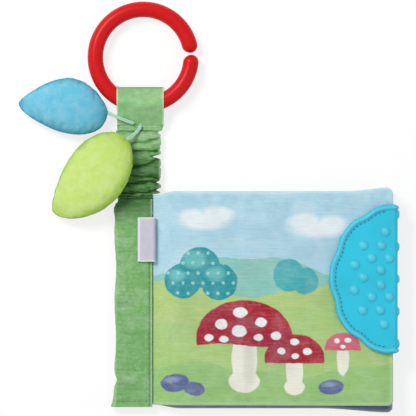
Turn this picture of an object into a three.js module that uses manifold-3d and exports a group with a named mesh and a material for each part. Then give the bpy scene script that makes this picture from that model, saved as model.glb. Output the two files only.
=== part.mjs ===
// Crinkle cloth book with a gathered elastic strap, a link ring, two stuffed leaves and a folded teether.
// Millimetres, +Z up out of the front cover. The book lies closed on its back cover.
// The origin is the middle of the back cover's resting face. +X runs from the spine to the fore edge,
// and +Y from the foot of the pages to the strap.

import * as THREE from 'three';
import { mergeVertices } from 'three/addons/utils/BufferGeometryUtils.js';
import Module from 'manifold-3d';

const wasm = await Module();
wasm.setup();

// Clearances
const clothGap = 0.3; // between cloths that lie on each other
const filmGap = 0.25; // between the crinkle film and the cloth round it
const seamGap = 0.15; // from a seam's plane to each of its two cloths
const overrun = 2; // how far a cutting body passes the body that it cuts

// Pages
const pageWidth = 124.5; // from the binding to the fore edge
const pageHeight = 111.3;
const pageThick = 2.8;
const pageEdgeThick = 1.2;
const pageRoll = 5; // width of the rolled outer edge
const pageRamp = 14; // width over which a page swells beside the binding
const pageCount = 3;
const topCorner = 4; // corner radius at the head of the fore edge
const footCorner = 3; // corner radius at the foot of the fore edge
const headDip = 2.1; // how far the head edge is drawn down beside the binding
const headDipRun = 12;
const headRise = 2; // how far the head edge stands up at the fore edge
const headRiseRun = 24;
const lowerReach = 1.8; // how far the lower pages show past the front cover's foot
const lowerSag = 2.2; // how much further they show at the fore edge
const lowerSagRun = 38;

// Crinkle film inside each page
const filmThick = 0.2;
const filmInset = 6;

// Binding strip folded round the sewn margins
const marginThick = 1;
const bindingWidth = 19.35;
const bindingWall = 0.6;
const bindingHeadDrop = 4.2; // from the head of the pages down to the top of the binding
const bindingFootReach = 1.1;
const bindingFlare = 2.8; // how far the folded end spreads at the foot
const bindingFlareRun = 7;
const bindingWave = 0.45;
const bindingWaves = 3;

// Woven label, bent round at the binding's edge
const labelLength = 9.6;
const labelHeight = 23.4;
const labelThick = 0.5;
const labelBend = 1.5; // outer radius of its bend
const labelDrop = 9.3; // from the top of the binding down to the label
const labelSlope = 2.2; // how far its free end lies below the top of the bend

// Teether folded round the front cover's fore edge
const teetherReach = 33.3; // from the fore edge over the page
const teetherHeight = 77;
const teetherOffset = 10; // its middle above the page's middle
const teetherPlate = 1.6;
const rimRadius = 1.1;
const rimRise = 0.75; // how far the rim stands above the plate
const rimOverhang = 0.25; // how far the rim stands out past the plate's outline
const scallopDepth = 1.3;
const scallopTurn = THREE.MathUtils.degToRad(39.7); // angle from one dip of the outline to the next
const scallopFirst = THREE.MathUtils.degToRad(22.8);
const domeRadius = 2.4;
const domeHeight = 0.8;
const beadRadius = 2.2; // half the length of a bead on the folded edge
const beadRise = 0.8;

// Strap: a gathered sleeve with an elastic band inside, then a smooth loop
const sleeveWidth = 23.4;
const sleeveThick = 6;
const sleeveLength = 35.3; // from the binding to the loop's hem
const sleeveShift = 2.3; // its middle from the binding's middle
const ruffles = 8;
const ruffleDepth = 2.1; // how far the edges draw in between two ruffles
const ruffleHollow = 1.15; // how far the faces draw in between two ruffles
const creaseSlantShare = 0.35; // how far a crease runs aslant, as a share of the ruffles' spacing
const creaseSwings = 5.6; // how often that slant swings along the sleeve
const tailWidth = 16;
const tailDepth = 7; // how far the sleeve's end goes into the binding
const tailLength = 7.4; // how much of the sleeve stays by the binding when the strap bends
const elasticWidth = 12.5;
const elasticThick = 0.8;
const hemLength = 2.7;
const hemThick = 4.6;
const loopWidth = 24.4;
const loopLength = 19.8;
const loopCloth = 0.6;
const loopShift = 3.5; // its middle from the binding's middle

// Link ring
const ringDiameter = 57.6;
const ringSection = 7.75;
const ringGap = 1;
const ringGapTurn = THREE.MathUtils.degToRad(4);
const ringShift = 5; // its middle from the binding's middle
const ringDrop = 5.6; // cloth left free between the ring and the hem, past the clearance

// Ties of the stuffed leaves: where each starts beside the loop's middle, and how far it runs
const tieWidth = 2.1;
const tieThick = 1;
const blueTieShift = -4.2;
const blueTieReach = -13;
const blueTieRun = 5.2;
const limeTieShift = 0.2;
const limeTieReach = -7.3;
const limeTieRun = -7.2;

// Stuffed leaves
const plushThick = 0.8;
const leafThick = 11;

const blueLeaf = {
  name: 'blue_leaf',
  colour: 0x6fbfe2,
  length: 46.4,
  turn: THREE.MathUtils.degToRad(173.5),
  pitch: THREE.MathUtils.degToRad(-0.8),
  roll: 0,
  left: { width: 13, skewShare: 0.663, fullShare: 0.596 },
  right: { width: 15.5, skewShare: 0.854, fullShare: 0.871 },
};

const limeLeaf = {
  name: 'lime_leaf',
  colour: 0xc3de7a,
  length: 53.7,
  turn: THREE.MathUtils.degToRad(-135.4),
  pitch: THREE.MathUtils.degToRad(6.5),
  roll: THREE.MathUtils.degToRad(17),
  left: { width: 15.5, skewShare: 0.988, fullShare: 0.4 },
  right: { width: 15.2, skewShare: 0.665, fullShare: 0.748 },
};

// Places that follow from the sizes
const pitchAtBinding = marginThick + clothGap;
const firstMarginZ = bindingWall + clothGap + marginThick / 2;
const bindingThick = 2 * bindingWall + clothGap + pageCount * pitchAtBinding;
const pageStartX = -pageWidth / 2;
const bindingEdgeX = pageStartX - 2 * clothGap;
const bindingLeftX = bindingEdgeX - bindingWidth;
const bindingMiddleX = bindingEdgeX - bindingWidth / 2;
const bindingTopY = pageHeight / 2 - bindingHeadDrop;
const bindingFootY = -pageHeight / 2 - bindingFootReach;
const hingeX = bindingEdgeX + clothGap;
const hingeZ = bindingThick + labelBend + clothGap / 3;
const sleeveX = bindingMiddleX + sleeveShift;
const loopX = bindingMiddleX + loopShift;
const sleeveTopY = bindingTopY + sleeveLength;
const strapBendY = bindingTopY + tailLength;
const hemTopY = sleeveTopY + clothGap + hemLength;
const hemTopZ = clothGap + hemThick;
const loopStartY = hemTopY + clothGap;
const ringRadius = (ringDiameter - ringSection) / 2;
const ringSideX = bindingMiddleX + ringShift;
const ringLowY = loopStartY + loopCloth + clothGap + ringDrop + ringSection / 2;
const ringLowZ = clothGap + loopCloth + 1.5 * clothGap + ringSection / 2;
const ringTilt = Math.asin((ringLowZ - ringSection / 2) / (2 * ringRadius));
const ringMiddleY = ringLowY + ringRadius * Math.cos(ringTilt);
const ringMiddleZ = ringLowZ - ringRadius * Math.sin(ringTilt);
const loopTopZ = ringLowZ + ringSection / 2 + clothGap + loopCloth;
const leafRestZ = clothGap + leafThick / 2;

// Colours and finishes
const cloth = (colour) => new THREE.MeshStandardMaterial({ color: colour, roughness: 0.9, metalness: 0 });
const printedCloth = cloth(0xa9d5e4);
const meadowCloth = cloth(0xb4d28c);
const marginCloth = cloth(0x8fb8c9);
const greenCotton = cloth(0x69aa64);
const loopCotton = cloth(0x87be78);
const labelCloth = cloth(0xcdc8dc);
const tieCloth = cloth(0xa5d7be);
const elasticCloth = cloth(0xe8e8e4);
const filling = cloth(0xf2f2ee);
const film = new THREE.MeshStandardMaterial({ color: 0xe9eef0, roughness: 0.35, metalness: 0 });
const silicone = new THREE.MeshStandardMaterial({ color: 0x41c8e1, roughness: 0.45, metalness: 0 });
const redPlastic = new THREE.MeshStandardMaterial({ color: 0xd7191e, roughness: 0.2, metalness: 0 });

// Small helpers

// Goes from 0 to 1 with flat ends as value goes from 0 to run.
function ease(value, run) {
  const share = THREE.MathUtils.clamp(value / run, 0, 1);
  return share * share * (3 - 2 * share);
}

// Keeps the sign of value and raises its size to a power.
function signedPower(value, power) {
  return Math.sign(value) * Math.abs(value) ** power;
}

// Numbers from first to last in equal steps.
function steps(first, last, count) {
  return Array.from({ length: count + 1 }, (_, i) => first + ((last - first) * i) / count);
}

// A geometry from corner points and triangles, turned so that its faces point out.
function closedGeometry(points, triangles) {
  let volume = 0;
  for (const [a, b, c] of triangles) {
    volume += points[a].dot(new THREE.Vector3().crossVectors(points[b], points[c]));
  }
  const facing = volume < 0 ? triangles.map(([a, b, c]) => [a, c, b]) : triangles;
  const geometry = new THREE.BufferGeometry().setFromPoints(points);
  geometry.setIndex(facing.flat());
  return geometry;
}

// Carries flat outlines through space: outline i is placed by matrix i, and neighbours are joined.
// A ring-shaped path is closed on itself; any other is capped at both ends.
function loft(sections, places, closed = false) {
  const clockwise = THREE.ShapeUtils.isClockWise(sections[0]);
  const outlines = clockwise ? sections.map((section) => [...section].reverse()) : sections;
  const count = outlines[0].length;
  const points = [];
  const triangles = [];
  outlines.forEach((outline, i) => {
    for (const p of outline) points.push(new THREE.Vector3(p.x, p.y, 0).applyMatrix4(places[i]));
  });
  const spans = closed ? outlines.length : outlines.length - 1;
  for (let i = 0; i < spans; i++) {
    const here = i * count;
    const next = ((i + 1) % outlines.length) * count;
    for (let k = 0; k < count; k++) {
      const m = (k + 1) % count;
      triangles.push([here + k, here + m, next + m], [here + k, next + m, next + k]);
    }
  }
  if (!closed) {
    const last = (outlines.length - 1) * count;
    for (const [a, b, c] of THREE.ShapeUtils.triangulateShape(outlines[0], [])) triangles.push([a, c, b]);
    for (const [a, b, c] of THREE.ShapeUtils.triangulateShape(outlines.at(-1), [])) {
      triangles.push([last + a, last + b, last + c]);
    }
  }
  return closedGeometry(points, triangles);
}

// Places an outline whose axes run along X and Z at a station along Y.
function acrossY(y) {
  const axes = [new THREE.Vector3(1, 0, 0), new THREE.Vector3(0, 0, 1), new THREE.Vector3(0, -1, 0)];
  return new THREE.Matrix4().makeBasis(...axes).setPosition(0, y, 0);
}

// Places an outline whose axes run along Y and Z at a station along X.
function acrossX(x) {
  const axes = [new THREE.Vector3(0, 1, 0), new THREE.Vector3(0, 0, 1), new THREE.Vector3(1, 0, 0)];
  return new THREE.Matrix4().makeBasis(...axes).setPosition(x, 0, 0);
}

// Places an outline square to a path, with its first axis turned towards a point.
function acrossPath(at, along, towards) {
  const forward = along.clone().normalize();
  const side = towards.clone().sub(at);
  side.addScaledVector(forward, -side.dot(forward)).normalize();
  const up = new THREE.Vector3().crossVectors(forward, side);
  return new THREE.Matrix4().makeBasis(side, up, forward).setPosition(at);
}

// An ellipse as a flat outline.
function ellipse(halfWidth, halfHeight, sides) {
  return steps(0, 2 * Math.PI, sides)
    .slice(0, sides)
    .map((a) => new THREE.Vector2(halfWidth * Math.cos(a), halfHeight * Math.sin(a)));
}

// A closed body between an upper and a lower face, each a function of two shares.
function gridBody(across, along, upper, lower) {
  const width = along.length;
  const size = across.length * width;
  const points = [];
  for (const face of [upper, lower]) for (const u of across) for (const v of along) points.push(face(u, v));
  const triangles = [];
  for (let i = 0; i + 1 < across.length; i++) {
    for (let k = 0; k + 1 < width; k++) {
      const [a, b] = [i * width + k, (i + 1) * width + k];
      triangles.push([a, b, b + 1], [a, b + 1, a + 1]);
      triangles.push([size + a, size + b + 1, size + b], [size + a, size + a + 1, size + b + 1]);
    }
  }
  const edge = [];
  for (let k = 0; k + 1 < width; k++) edge.push(k);
  for (let i = 0; i + 1 < across.length; i++) edge.push(i * width + width - 1);
  for (let k = width - 1; k > 0; k--) edge.push((across.length - 1) * width + k);
  for (let i = across.length - 1; i > 0; i--) edge.push(i * width);
  edge.forEach((a, i) => {
    const b = edge[(i + 1) % edge.length];
    triangles.push([a, b, size + b], [a, size + b, size + a]);
  });
  return closedGeometry(points, triangles);
}

// Booleans: a closed geometry becomes a solid, and a solid becomes a geometry again.
function solid(geometry) {
  const bare = geometry.clone();
  for (const name of Object.keys(bare.attributes)) if (name !== 'position') bare.deleteAttribute(name);
  const merged = mergeVertices(bare);
  const mesh = new wasm.Mesh({
    numProp: 3,
    vertProperties: new Float32Array(merged.attributes.position.array),
    triVerts: new Uint32Array(merged.index.array),
  });
  return new wasm.Manifold(mesh);
}

function geometryOf(body) {
  const mesh = body.getMesh();
  const geometry = new THREE.BufferGeometry();
  geometry.setAttribute('position', new THREE.BufferAttribute(new Float32Array(mesh.vertProperties), 3));
  geometry.setIndex(new THREE.BufferAttribute(new Uint32Array(mesh.triVerts), 1));
  return geometry;
}

// A box between two corners.
function boxBetween(low, high) {
  const size = high.clone().sub(low);
  const middle = low.clone().add(high).divideScalar(2);
  return new THREE.BoxGeometry(size.x, size.y, size.z).translate(middle.x, middle.y, middle.z);
}

function piece(name, geometry, material) {
  const mesh = new THREE.Mesh(geometry, material);
  mesh.name = name;
  return mesh;
}

// Pages: two padded cloth panels, sewn round the edge, with a sheet of crinkle film between them.
// A page's own frame starts at the binding's edge, with X along the page and Z up from its middle plane.

const acrossShares = [0, 0.03, 0.06, 0.09, 0.12, 0.5, 0.9, 0.955, 0.98, 0.993, 1];
const alongShares = [0, 0.008, 0.02, 0.05, 0.3, 0.7, 0.95, 0.98, 0.992, 1];

// Thickness of a page at a distance from the binding, before its outer edges roll off.
function swelling(x) {
  return marginThick + (pageThick - marginThick) * ease(x, pageRamp);
}

// Lift of page number level at a distance from the binding, where the pages under it swell.
function pageLift(level, x) {
  return level * (swelling(x) - marginThick);
}

// The share of its thickness that a page keeps at a distance inside its rolled edge.
function rolled(distance) {
  const share = THREE.MathUtils.clamp(distance / pageRoll, 0, 1);
  return Math.sqrt(1 - (1 - share) ** 2);
}

function cornerCut(x, radius) {
  const past = Math.max(0, x - (pageWidth - radius));
  return radius - Math.sqrt(Math.max(0, radius ** 2 - past ** 2));
}

function headEdge(x) {
  const dip = headDip * (1 - ease(x, headDipRun));
  const rise = headRise * ease(x - (pageWidth - headRiseRun), headRiseRun);
  return pageHeight / 2 - dip + rise - cornerCut(x, topCorner);
}

function footEdge(x, level) {
  const sag = lowerReach + lowerSag * ease(x - (pageWidth - lowerSagRun), lowerSagRun);
  const below = level < pageCount - 1 ? sag : 0;
  return -pageHeight / 2 - below * ease(x, pageRamp) + cornerCut(x, footCorner);
}

// A point of a page's upper or lower cloth: side is 1 or -1, and depth picks its outer or inner face.
function pagePoint(u, v, level, side, outer) {
  const x = u * pageWidth;
  const foot = footEdge(x, level);
  const head = headEdge(x);
  const y = foot + (head - foot) * v;
  const inside = Math.min(pageWidth - x, y - foot, head - y);
  const swollen = swelling(x);
  const edge = Math.min(pageEdgeThick, swollen);
  const half = (edge + (swollen - edge) * rolled(inside)) / 2;
  const opened = ease(Math.min(inside, x - filmInset), filmInset / 2);
  const room = seamGap + (filmThick / 2 + filmGap - seamGap) * opened;
  return new THREE.Vector3(x, y, pageLift(level, x) + side * (outer ? half : room));
}

function pagePanel(level, side) {
  const outer = (u, v) => pagePoint(u, v, level, side, true);
  const inner = (u, v) => pagePoint(u, v, level, side, false);
  return gridBody(acrossShares, alongShares, outer, inner);
}

function crinkleFilm(level) {
  const middle = pageLift(level, pageRamp);
  const startX = pageRamp + filmGap;
  const foot = -pageHeight / 2 + filmInset;
  const head = pageHeight / 2 - headDip - filmInset;
  const low = new THREE.Vector3(startX, foot, middle - filmThick / 2);
  const high = new THREE.Vector3(pageWidth - filmInset, head, middle + filmThick / 2);
  return boxBetween(low, high);
}

function page(name, level, upperName, lowerName, upperCloth, lowerCloth) {
  const group = new THREE.Group();
  group.position.set(pageStartX, 0, firstMarginZ + level * pitchAtBinding);
  group.add(piece(`${name}_${upperName}`, pagePanel(level, 1), upperCloth));
  group.add(piece(`${name}_crinkle_film`, crinkleFilm(level), film));
  group.add(piece(`${name}_${lowerName}`, pagePanel(level, -1), lowerCloth));
  return group;
}

// Teether: one moulded piece, a U folded round the fore edge, with a scalloped and rimmed outline and domes.
// Its frame is the front cover's, shifted up the swollen part of that page.

const teetherInner = pageThick / 2 + clothGap; // half of the slot that holds the page
const teetherOuter = teetherInner + teetherPlate;
const noseX = pageWidth + clothGap; // where the slot ends and the fold's round begins
const outlineSteps = 44;

// A point of the outline, inset by a distance, at an angle from the head end (a quarter turn) to the foot.
function teetherEdge(angle, inset) {
  const nearest = scallopFirst + scallopTurn * Math.round((angle - scallopFirst) / scallopTurn);
  const dip = scallopDepth * Math.exp(-(((angle - nearest) / (scallopTurn / 5)) ** 2));
  const reach = teetherReach - inset - dip;
  const half = teetherHeight / 2 - inset - dip;
  return new THREE.Vector2(noseX - reach * Math.cos(angle), teetherOffset + half * Math.sin(angle));
}

function teetherOutline(inset) {
  return steps(Math.PI / 2, -Math.PI / 2, outlineSteps).map((angle) => teetherEdge(angle, inset));
}

// The U as an outline across Y: two plates joined by the fold's round.
function foldOutline() {
  const left = noseX - teetherReach - overrun;
  const slotX = noseX - teetherInner / 2;
  const shape = new THREE.Path();
  shape.moveTo(left, -teetherOuter);
  shape.lineTo(noseX, -teetherOuter);
  shape.absarc(noseX, 0, teetherOuter, -Math.PI / 2, Math.PI / 2, false);
  shape.lineTo(left, teetherOuter);
  shape.lineTo(left, teetherInner);
  shape.lineTo(slotX, teetherInner);
  shape.absellipse(slotX, 0, noseX + clothGap - slotX, teetherInner, Math.PI / 2, -Math.PI / 2, true);
  shape.lineTo(left, -teetherInner);
  const points = shape.getPoints(8);
  return points.filter((p, i) => i === 0 || p.distanceTo(points[i - 1]) > seamGap);
}

// The rim's path: along the outline on one face, round the fold at the foot, back along the other face.
function rimPath() {
  const height = teetherOuter + rimRise - rimRadius;
  const face = teetherOutline(rimRadius - rimOverhang);
  const upper = face.map((p) => new THREE.Vector3(p.x, p.y, height));
  const lower = face.map((p) => new THREE.Vector3(p.x, p.y, -height));
  const turns = steps(Math.PI / 2, -Math.PI / 2, 6).slice(1, -1);
  const round = (p) => turns.map(
    (a) => new THREE.Vector3(noseX + height * Math.cos(a), p.y, height * Math.sin(a)));
  return [...upper, ...round(face.at(-1)), ...lower.reverse(), ...round(face[0]).reverse()];
}

function rim() {
  const path = rimPath();
  const middle = new THREE.Vector3(noseX - teetherReach / 3, teetherOffset, 0);
  const section = ellipse(rimRadius, rimRadius, 6);
  const places = path.map((at, i) => {
    const before = path[(i + path.length - 1) % path.length];
    const after = path[(i + 1) % path.length];
    return acrossPath(at, after.clone().sub(before), middle);
  });
  return loft(path.map(() => section), places, true);
}

// Places of the domes, as shares of the reach from the fold and of half the height from the middle.
const domeShares = [
  [0.13, 0.635], [0.47, 0.45], [0.19, 0.45], [0.34, 0.28], [0.07, 0.275],
  [0.6, 0.19], [0.2, 0.12], [0.47, 0.02], [0.2, -0.08], [0.61, -0.15],
  [0.34, -0.24], [0.07, -0.24], [0.48, -0.42], [0.21, -0.42], [0.15, -0.61],
];

function dome(side) {
  const sunk = teetherPlate / 2;
  const arc = steps(0, Math.PI / 2, 3).map(
    (a) => new THREE.Vector2(domeRadius * Math.cos(a), domeHeight * Math.sin(a)));
  arc.at(-1).x = 0;
  const profile = [new THREE.Vector2(0, -sunk), new THREE.Vector2(domeRadius, -sunk), ...arc];
  return new THREE.LatheGeometry(profile, 10).rotateX((side * Math.PI) / 2);
}

function teether() {
  const ends = [teetherOffset - teetherHeight / 2 - overrun, teetherOffset + teetherHeight / 2 + overrun];
  const fold = solid(loft([foldOutline(), foldOutline()], ends.map(acrossY)));
  const noseEnd = noseX + teetherOuter + overrun;
  const edge = teetherOutline(0);
  const corners = [edge[0], edge.at(-1)].map((p) => new THREE.Vector2(noseEnd, p.y));
  const outline = new THREE.Shape([corners[0], ...edge, corners[1]]);
  const depth = 2 * (teetherOuter + overrun);
  const prism = new THREE.ExtrudeGeometry(outline, { depth, bevelEnabled: false, steps: 1 });
  const parts = [fold.intersect(solid(prism.translate(0, 0, -depth / 2))), solid(rim())];
  for (const side of [1, -1]) {
    for (const [reachShare, heightShare] of domeShares) {
      const x = noseX - reachShare * teetherReach;
      const y = teetherOffset + (heightShare * teetherHeight) / 2;
      parts.push(solid(dome(side).translate(x, y, side * teetherOuter)));
    }
  }
  const lastBead = teetherHeight / 2 - rimRadius - beadRadius;
  for (const y of steps(-lastBead, lastBead, 4)) {
    const bead = new THREE.SphereGeometry(1, 12, 8).scale(2 * beadRise, beadRadius, teetherOuter / 2);
    parts.push(solid(bead.translate(noseX + teetherOuter - beadRise, teetherOffset + y, 0)));
  }
  return wasm.Manifold.union(parts);
}

// The front cover rises towards the fore edge, where the teether's back half lies under it.
const teetherUnder = clothGap + teetherPlate + Math.max(domeHeight, rimRise);
const coverTilt = Math.atan(teetherUnder / (pageWidth - teetherReach));

// Binding: a cotton strip folded to a U round the sewn margins.

function bindingLeft(y) {
  const flare = bindingFlare * Math.exp(-(y - bindingFootY) / bindingFlareRun);
  const share = (y - bindingFootY) / (bindingTopY - bindingFootY);
  return bindingLeftX - flare + bindingWave * Math.cos(2 * Math.PI * bindingWaves * share);
}

function bindingSection(y) {
  const radius = bindingThick / 2;
  const inner = radius - bindingWall;
  const middle = bindingLeft(y) + radius;
  const shape = new THREE.Path();
  shape.moveTo(bindingEdgeX, 0);
  shape.lineTo(middle, 0);
  shape.absarc(middle, radius, radius, -Math.PI / 2, Math.PI / 2, true);
  shape.lineTo(bindingEdgeX, bindingThick);
  shape.lineTo(bindingEdgeX, bindingThick - bindingWall);
  shape.lineTo(middle, bindingThick - bindingWall);
  shape.absarc(middle, radius, inner, Math.PI / 2, -Math.PI / 2, false);
  shape.lineTo(bindingEdgeX, bindingWall);
  const points = shape.getPoints(6);
  return points.filter((p, i) => i === 0 || p.distanceTo(points[i - 1]) > clothGap / 10);
}

function binding() {
  const stations = steps(0, 1, 14).map((share) => bindingFootY + (bindingTopY - bindingFootY) * share ** 1.4);
  return loft(stations.map(bindingSection), stations.map(acrossY));
}

// The margins of the pages that are sewn into the binding. They stop short of the strap's tail.
function sewnMargin(level) {
  const left = bindingLeftX + bindingThick / 2 + bindingWave + clothGap;
  const middle = firstMarginZ + level * pitchAtBinding;
  const head = bindingTopY - tailDepth - clothGap;
  const low = new THREE.Vector3(left, -pageHeight / 2 + clothGap, middle - marginThick / 2);
  const high = new THREE.Vector3(pageStartX - clothGap, head, middle + marginThick / 2);
  return boxBetween(low, high);
}

// Label: a woven tag that comes out at the binding's edge, bends round and lies over the binding.
function label() {
  const inner = labelBend - labelThick;
  const tailX = bindingEdgeX + 2 * clothGap + labelBend - labelLength - hingeX;
  const drop = new THREE.Vector2(tailX, -labelSlope).normalize().multiplyScalar(labelThick);
  const shape = new THREE.Path();
  shape.moveTo(0, -labelBend);
  shape.absarc(0, 0, labelBend, -Math.PI / 2, Math.PI / 2, false);
  shape.lineTo(tailX, labelBend - labelSlope);
  shape.lineTo(tailX - drop.y, labelBend - labelSlope + drop.x);
  shape.lineTo(0, inner);
  shape.absarc(0, 0, inner, Math.PI / 2, -Math.PI / 2, true);
  const points = shape.getPoints(10).filter((p, i, all) => i === 0 || p.distanceTo(all[i - 1]) > seamGap / 3);
  const top = bindingTopY - labelDrop;
  return loft([points, points], [acrossY(top - labelHeight), acrossY(top)]);
}

// Gathered sleeve: a flat tube of cotton drawn up in ruffles, cut in two where the strap bends.

// How full the gathers are at a place: 0 at a notch and 1 on a ruffle. The creases run a little aslant.
function fullness(y, sideShare) {
  const share = (y - bindingTopY) / sleeveLength;
  const turns = ruffles * share + creaseSlantShare * sideShare * Math.sin(2 * Math.PI * creaseSwings * share);
  return Math.abs(Math.sin(Math.PI * turns)) ** 0.6;
}

function sleeveSection(y, width, sides) {
  const middleZ = clothGap + sleeveThick / 2;
  return steps(0, 2 * Math.PI, sides)
    .slice(0, sides)
    .map((angle) => {
      const across = signedPower(Math.cos(angle), 0.55);
      const up = signedPower(Math.sin(angle), 0.75);
      const full = fullness(y, across);
      const half = width / 2 - (ruffleDepth / 2) * (1 - full);
      const hollow = (up > 0 ? ruffleHollow : ruffleHollow / 2) * (1 - full);
      return new THREE.Vector2(sleeveX + across * half, middleZ + up * (sleeveThick / 2 - hollow));
    });
}

// The elastic band's own space in the sleeve.
function elasticBox(gap, startY, endY) {
  const middleZ = clothGap + sleeveThick / 2;
  const half = new THREE.Vector2(elasticWidth / 2 + gap, elasticThick / 2 + gap);
  const low = new THREE.Vector3(sleeveX - half.x, startY, middleZ - half.y);
  const high = new THREE.Vector3(sleeveX + half.x, endY, middleZ + half.y);
  return boxBetween(low, high);
}

function gatheredSleeve() {
  const stations = steps(strapBendY + clothGap, sleeveTopY, 34);
  const outer = solid(loft(stations.map((y) => sleeveSection(y, sleeveWidth, 20)), stations.map(acrossY)));
  const bore = solid(elasticBox(clothGap, strapBendY - overrun, sleeveTopY + overrun));
  return geometryOf(outer.subtract(bore));
}

// The sleeve's lowest ruffle and its flat end, which is sewn into the binding's top.
function strapTail() {
  const cornerY = headEdge(0) + clothGap;
  const outsideY = bindingTopY + clothGap;
  const stations = steps(outsideY, strapBendY, 8);
  const narrow = bindingEdgeX - clothGap / 2;
  const outside = stations.map((y) => {
    const limit = y < cornerY ? narrow : Infinity;
    return sleeveSection(y, sleeveWidth, 20).map((p) => new THREE.Vector2(Math.min(p.x, limit), p.y));
  });
  const sewnThick = bindingThick - 2 * bindingWall - 2 * clothGap;
  const right = bindingEdgeX - clothGap;
  const low = new THREE.Vector3(right - tailWidth, bindingTopY - tailDepth, bindingWall + clothGap);
  const high = new THREE.Vector3(right, outsideY + overrun, low.z + sewnThick);
  const body = solid(loft(outside, stations.map(acrossY)));
  return geometryOf(body.add(solid(boxBetween(low, high))));
}

// Hem: the stitched strip where the sleeve and both ends of the loop are sewn together.
function hem() {
  const half = new THREE.Vector2(loopWidth / 2, hemThick / 2);
  const outline = ellipse(1, 1, 20).map((p) => new THREE.Vector2(
    loopX + half.x * signedPower(p.x, 0.4), clothGap + half.y + half.y * signedPower(p.y, 0.7)));
  return loft([outline, outline], [acrossY(sleeveTopY + clothGap), acrossY(hemTopY)]);
}

// Loop: smooth cotton over and under the ring, with a hump that follows the ring's curve.

// Where the lowest part of a circle round the ring's middle lies, seen from above.
function circleLowY(x, radius) {
  return ringMiddleY - Math.cos(ringTilt) * Math.sqrt(radius ** 2 - (x - ringSideX) ** 2);
}

// The taut line over some points, from its first to its last: it bends only at points that stand proud.
function tautLine(points) {
  const line = [];
  for (const p of points) {
    while (line.length > 1) {
      const [a, b] = line.slice(-2);
      if ((b.x - a.x) * (p.y - a.y) - (b.y - a.y) * (p.x - a.x) > 0) break;
      line.pop();
    }
    line.push(p);
  }
  return line;
}

// Outline of the loop across X, set in by a distance, so that 0 gives the outside and loopCloth the inside.
// The upper cloth is drawn taut from the hem over the ring to the fold, which gives way where the ring is near.
function loopSection(x, inset) {
  const reach = ringSection / 2 + clothGap + loopCloth - inset;
  const beside = (angle) => circleLowY(x, ringRadius - reach * Math.cos(angle));
  const low = clothGap + inset;
  const flat = low + 2 * (loopCloth - inset) + clothGap;
  const startY = loopStartY + inset;
  const foldY = Math.max(loopStartY + loopLength - inset, beside(0));
  const startHeight = hemThick + clothGap - inset;
  const over = steps(0, Math.PI, 24)
    .map((angle) => new THREE.Vector2(beside(angle), ringLowZ + reach * Math.sin(angle)))
    .filter((p) => p.x < foldY && p.x > startY);
  const ends = [new THREE.Vector2(foldY, flat), new THREE.Vector2(startY, startHeight)];
  const upper = new THREE.Path(tautLine([ends[0], ...over, ends[1]])).getSpacedPoints(20);
  const foldRise = Math.min(upper[0].y - low, 2 * loopCloth + clothGap);
  const bulge = new THREE.Vector2(foldY + (loopCloth - inset) / 4, low + foldRise / 2);
  return [new THREE.Vector2(startY, low), new THREE.Vector2(foldY, low), bulge, ...upper];
}

function strapLoop() {
  const ends = [loopX - loopWidth / 2, loopX + loopWidth / 2];
  const body = (inset, extra) => {
    const stations = steps(ends[0] - extra, ends[1] + extra, 12);
    return solid(loft(stations.map((x) => loopSection(x, inset)), stations.map(acrossX)));
  };
  return geometryOf(body(0, 0).subtract(body(loopCloth, clothGap)));
}

// Link ring: a round rod bent to a C, with round tips that almost meet.
function linkRing() {
  const radius = ringSection / 2;
  const tipTurn = Math.asin((ringGap / 2 + radius) / ringRadius);
  const tip = steps(Math.PI / 2, Math.PI / 8, 3).map(
    (a) => [(radius * Math.sin(a)) / ringRadius, radius * Math.cos(a)]);
  const stations = tip.map(([past, size]) => [tipTurn - past, size]);
  for (const a of steps(tipTurn, 2 * Math.PI - tipTurn, 44)) stations.push([a, radius]);
  for (const [past, size] of tip.reverse()) stations.push([2 * Math.PI - tipTurn + past, size]);
  const smallest = radius / 20;
  const places = stations.map(([a]) => {
    const at = new THREE.Vector3(Math.cos(a), Math.sin(a), 0).multiplyScalar(ringRadius);
    return acrossPath(at, new THREE.Vector3(-Math.sin(a), Math.cos(a), 0), new THREE.Vector3());
  });
  const sizes = stations.map(([, size]) => Math.max(size, smallest));
  return loft(sizes.map((size) => ellipse(size, size, 14)), places);
}

// Stuffed leaf: two plush panels sewn round the edge over a filling.
// Its frame starts at the tie's end, with X along the leaf and Z up from the seam's plane.

function leafHalfWidth(leaf, share, side) {
  const { width, skewShare, fullShare } = side > 0 ? leaf.left : leaf.right;
  return width * Math.sin(Math.PI * share ** skewShare) ** fullShare;
}

// Height of the stuffed surface over the seam's plane, at shares along and across the leaf.
function leafRise(along, across, thick) {
  const lengthwise = Math.sin(Math.PI * along ** 0.8) ** 0.6;
  return (thick / 2) * lengthwise * (1 - Math.abs(across) ** 2.2) ** 0.6;
}

// One arc across a leaf, set in by a distance from the plush's outside.
function leafArc(leaf, along, inset, gap, side, count) {
  return steps(-1, 1, count).map((across) => {
    const reach = Math.max(leafHalfWidth(leaf, along, across) - inset, gap / 2);
    const rise = Math.max(leafRise(along, across, leafThick - 2 * inset), 0);
    return new THREE.Vector2(across * reach, side * (gap + rise));
  });
}

// Stations along a leaf as shares of its length, closer towards its two ends.
const leafEndShare = 0.012;
const leafStations = steps(0, Math.PI, 14).map(
  (a) => leafEndShare + (1 - 2 * leafEndShare) * (0.5 - 0.5 * Math.cos(a)));

function leafPanel(leaf, side) {
  const outlines = leafStations.map((along) => {
    const outer = leafArc(leaf, along, 0, seamGap, side, 10);
    const inner = leafArc(leaf, along, plushThick, seamGap, side, 8).reverse();
    return [...outer, ...inner];
  });
  return loft(outlines, leafStations.map((along) => acrossX(along * leaf.length)));
}

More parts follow.
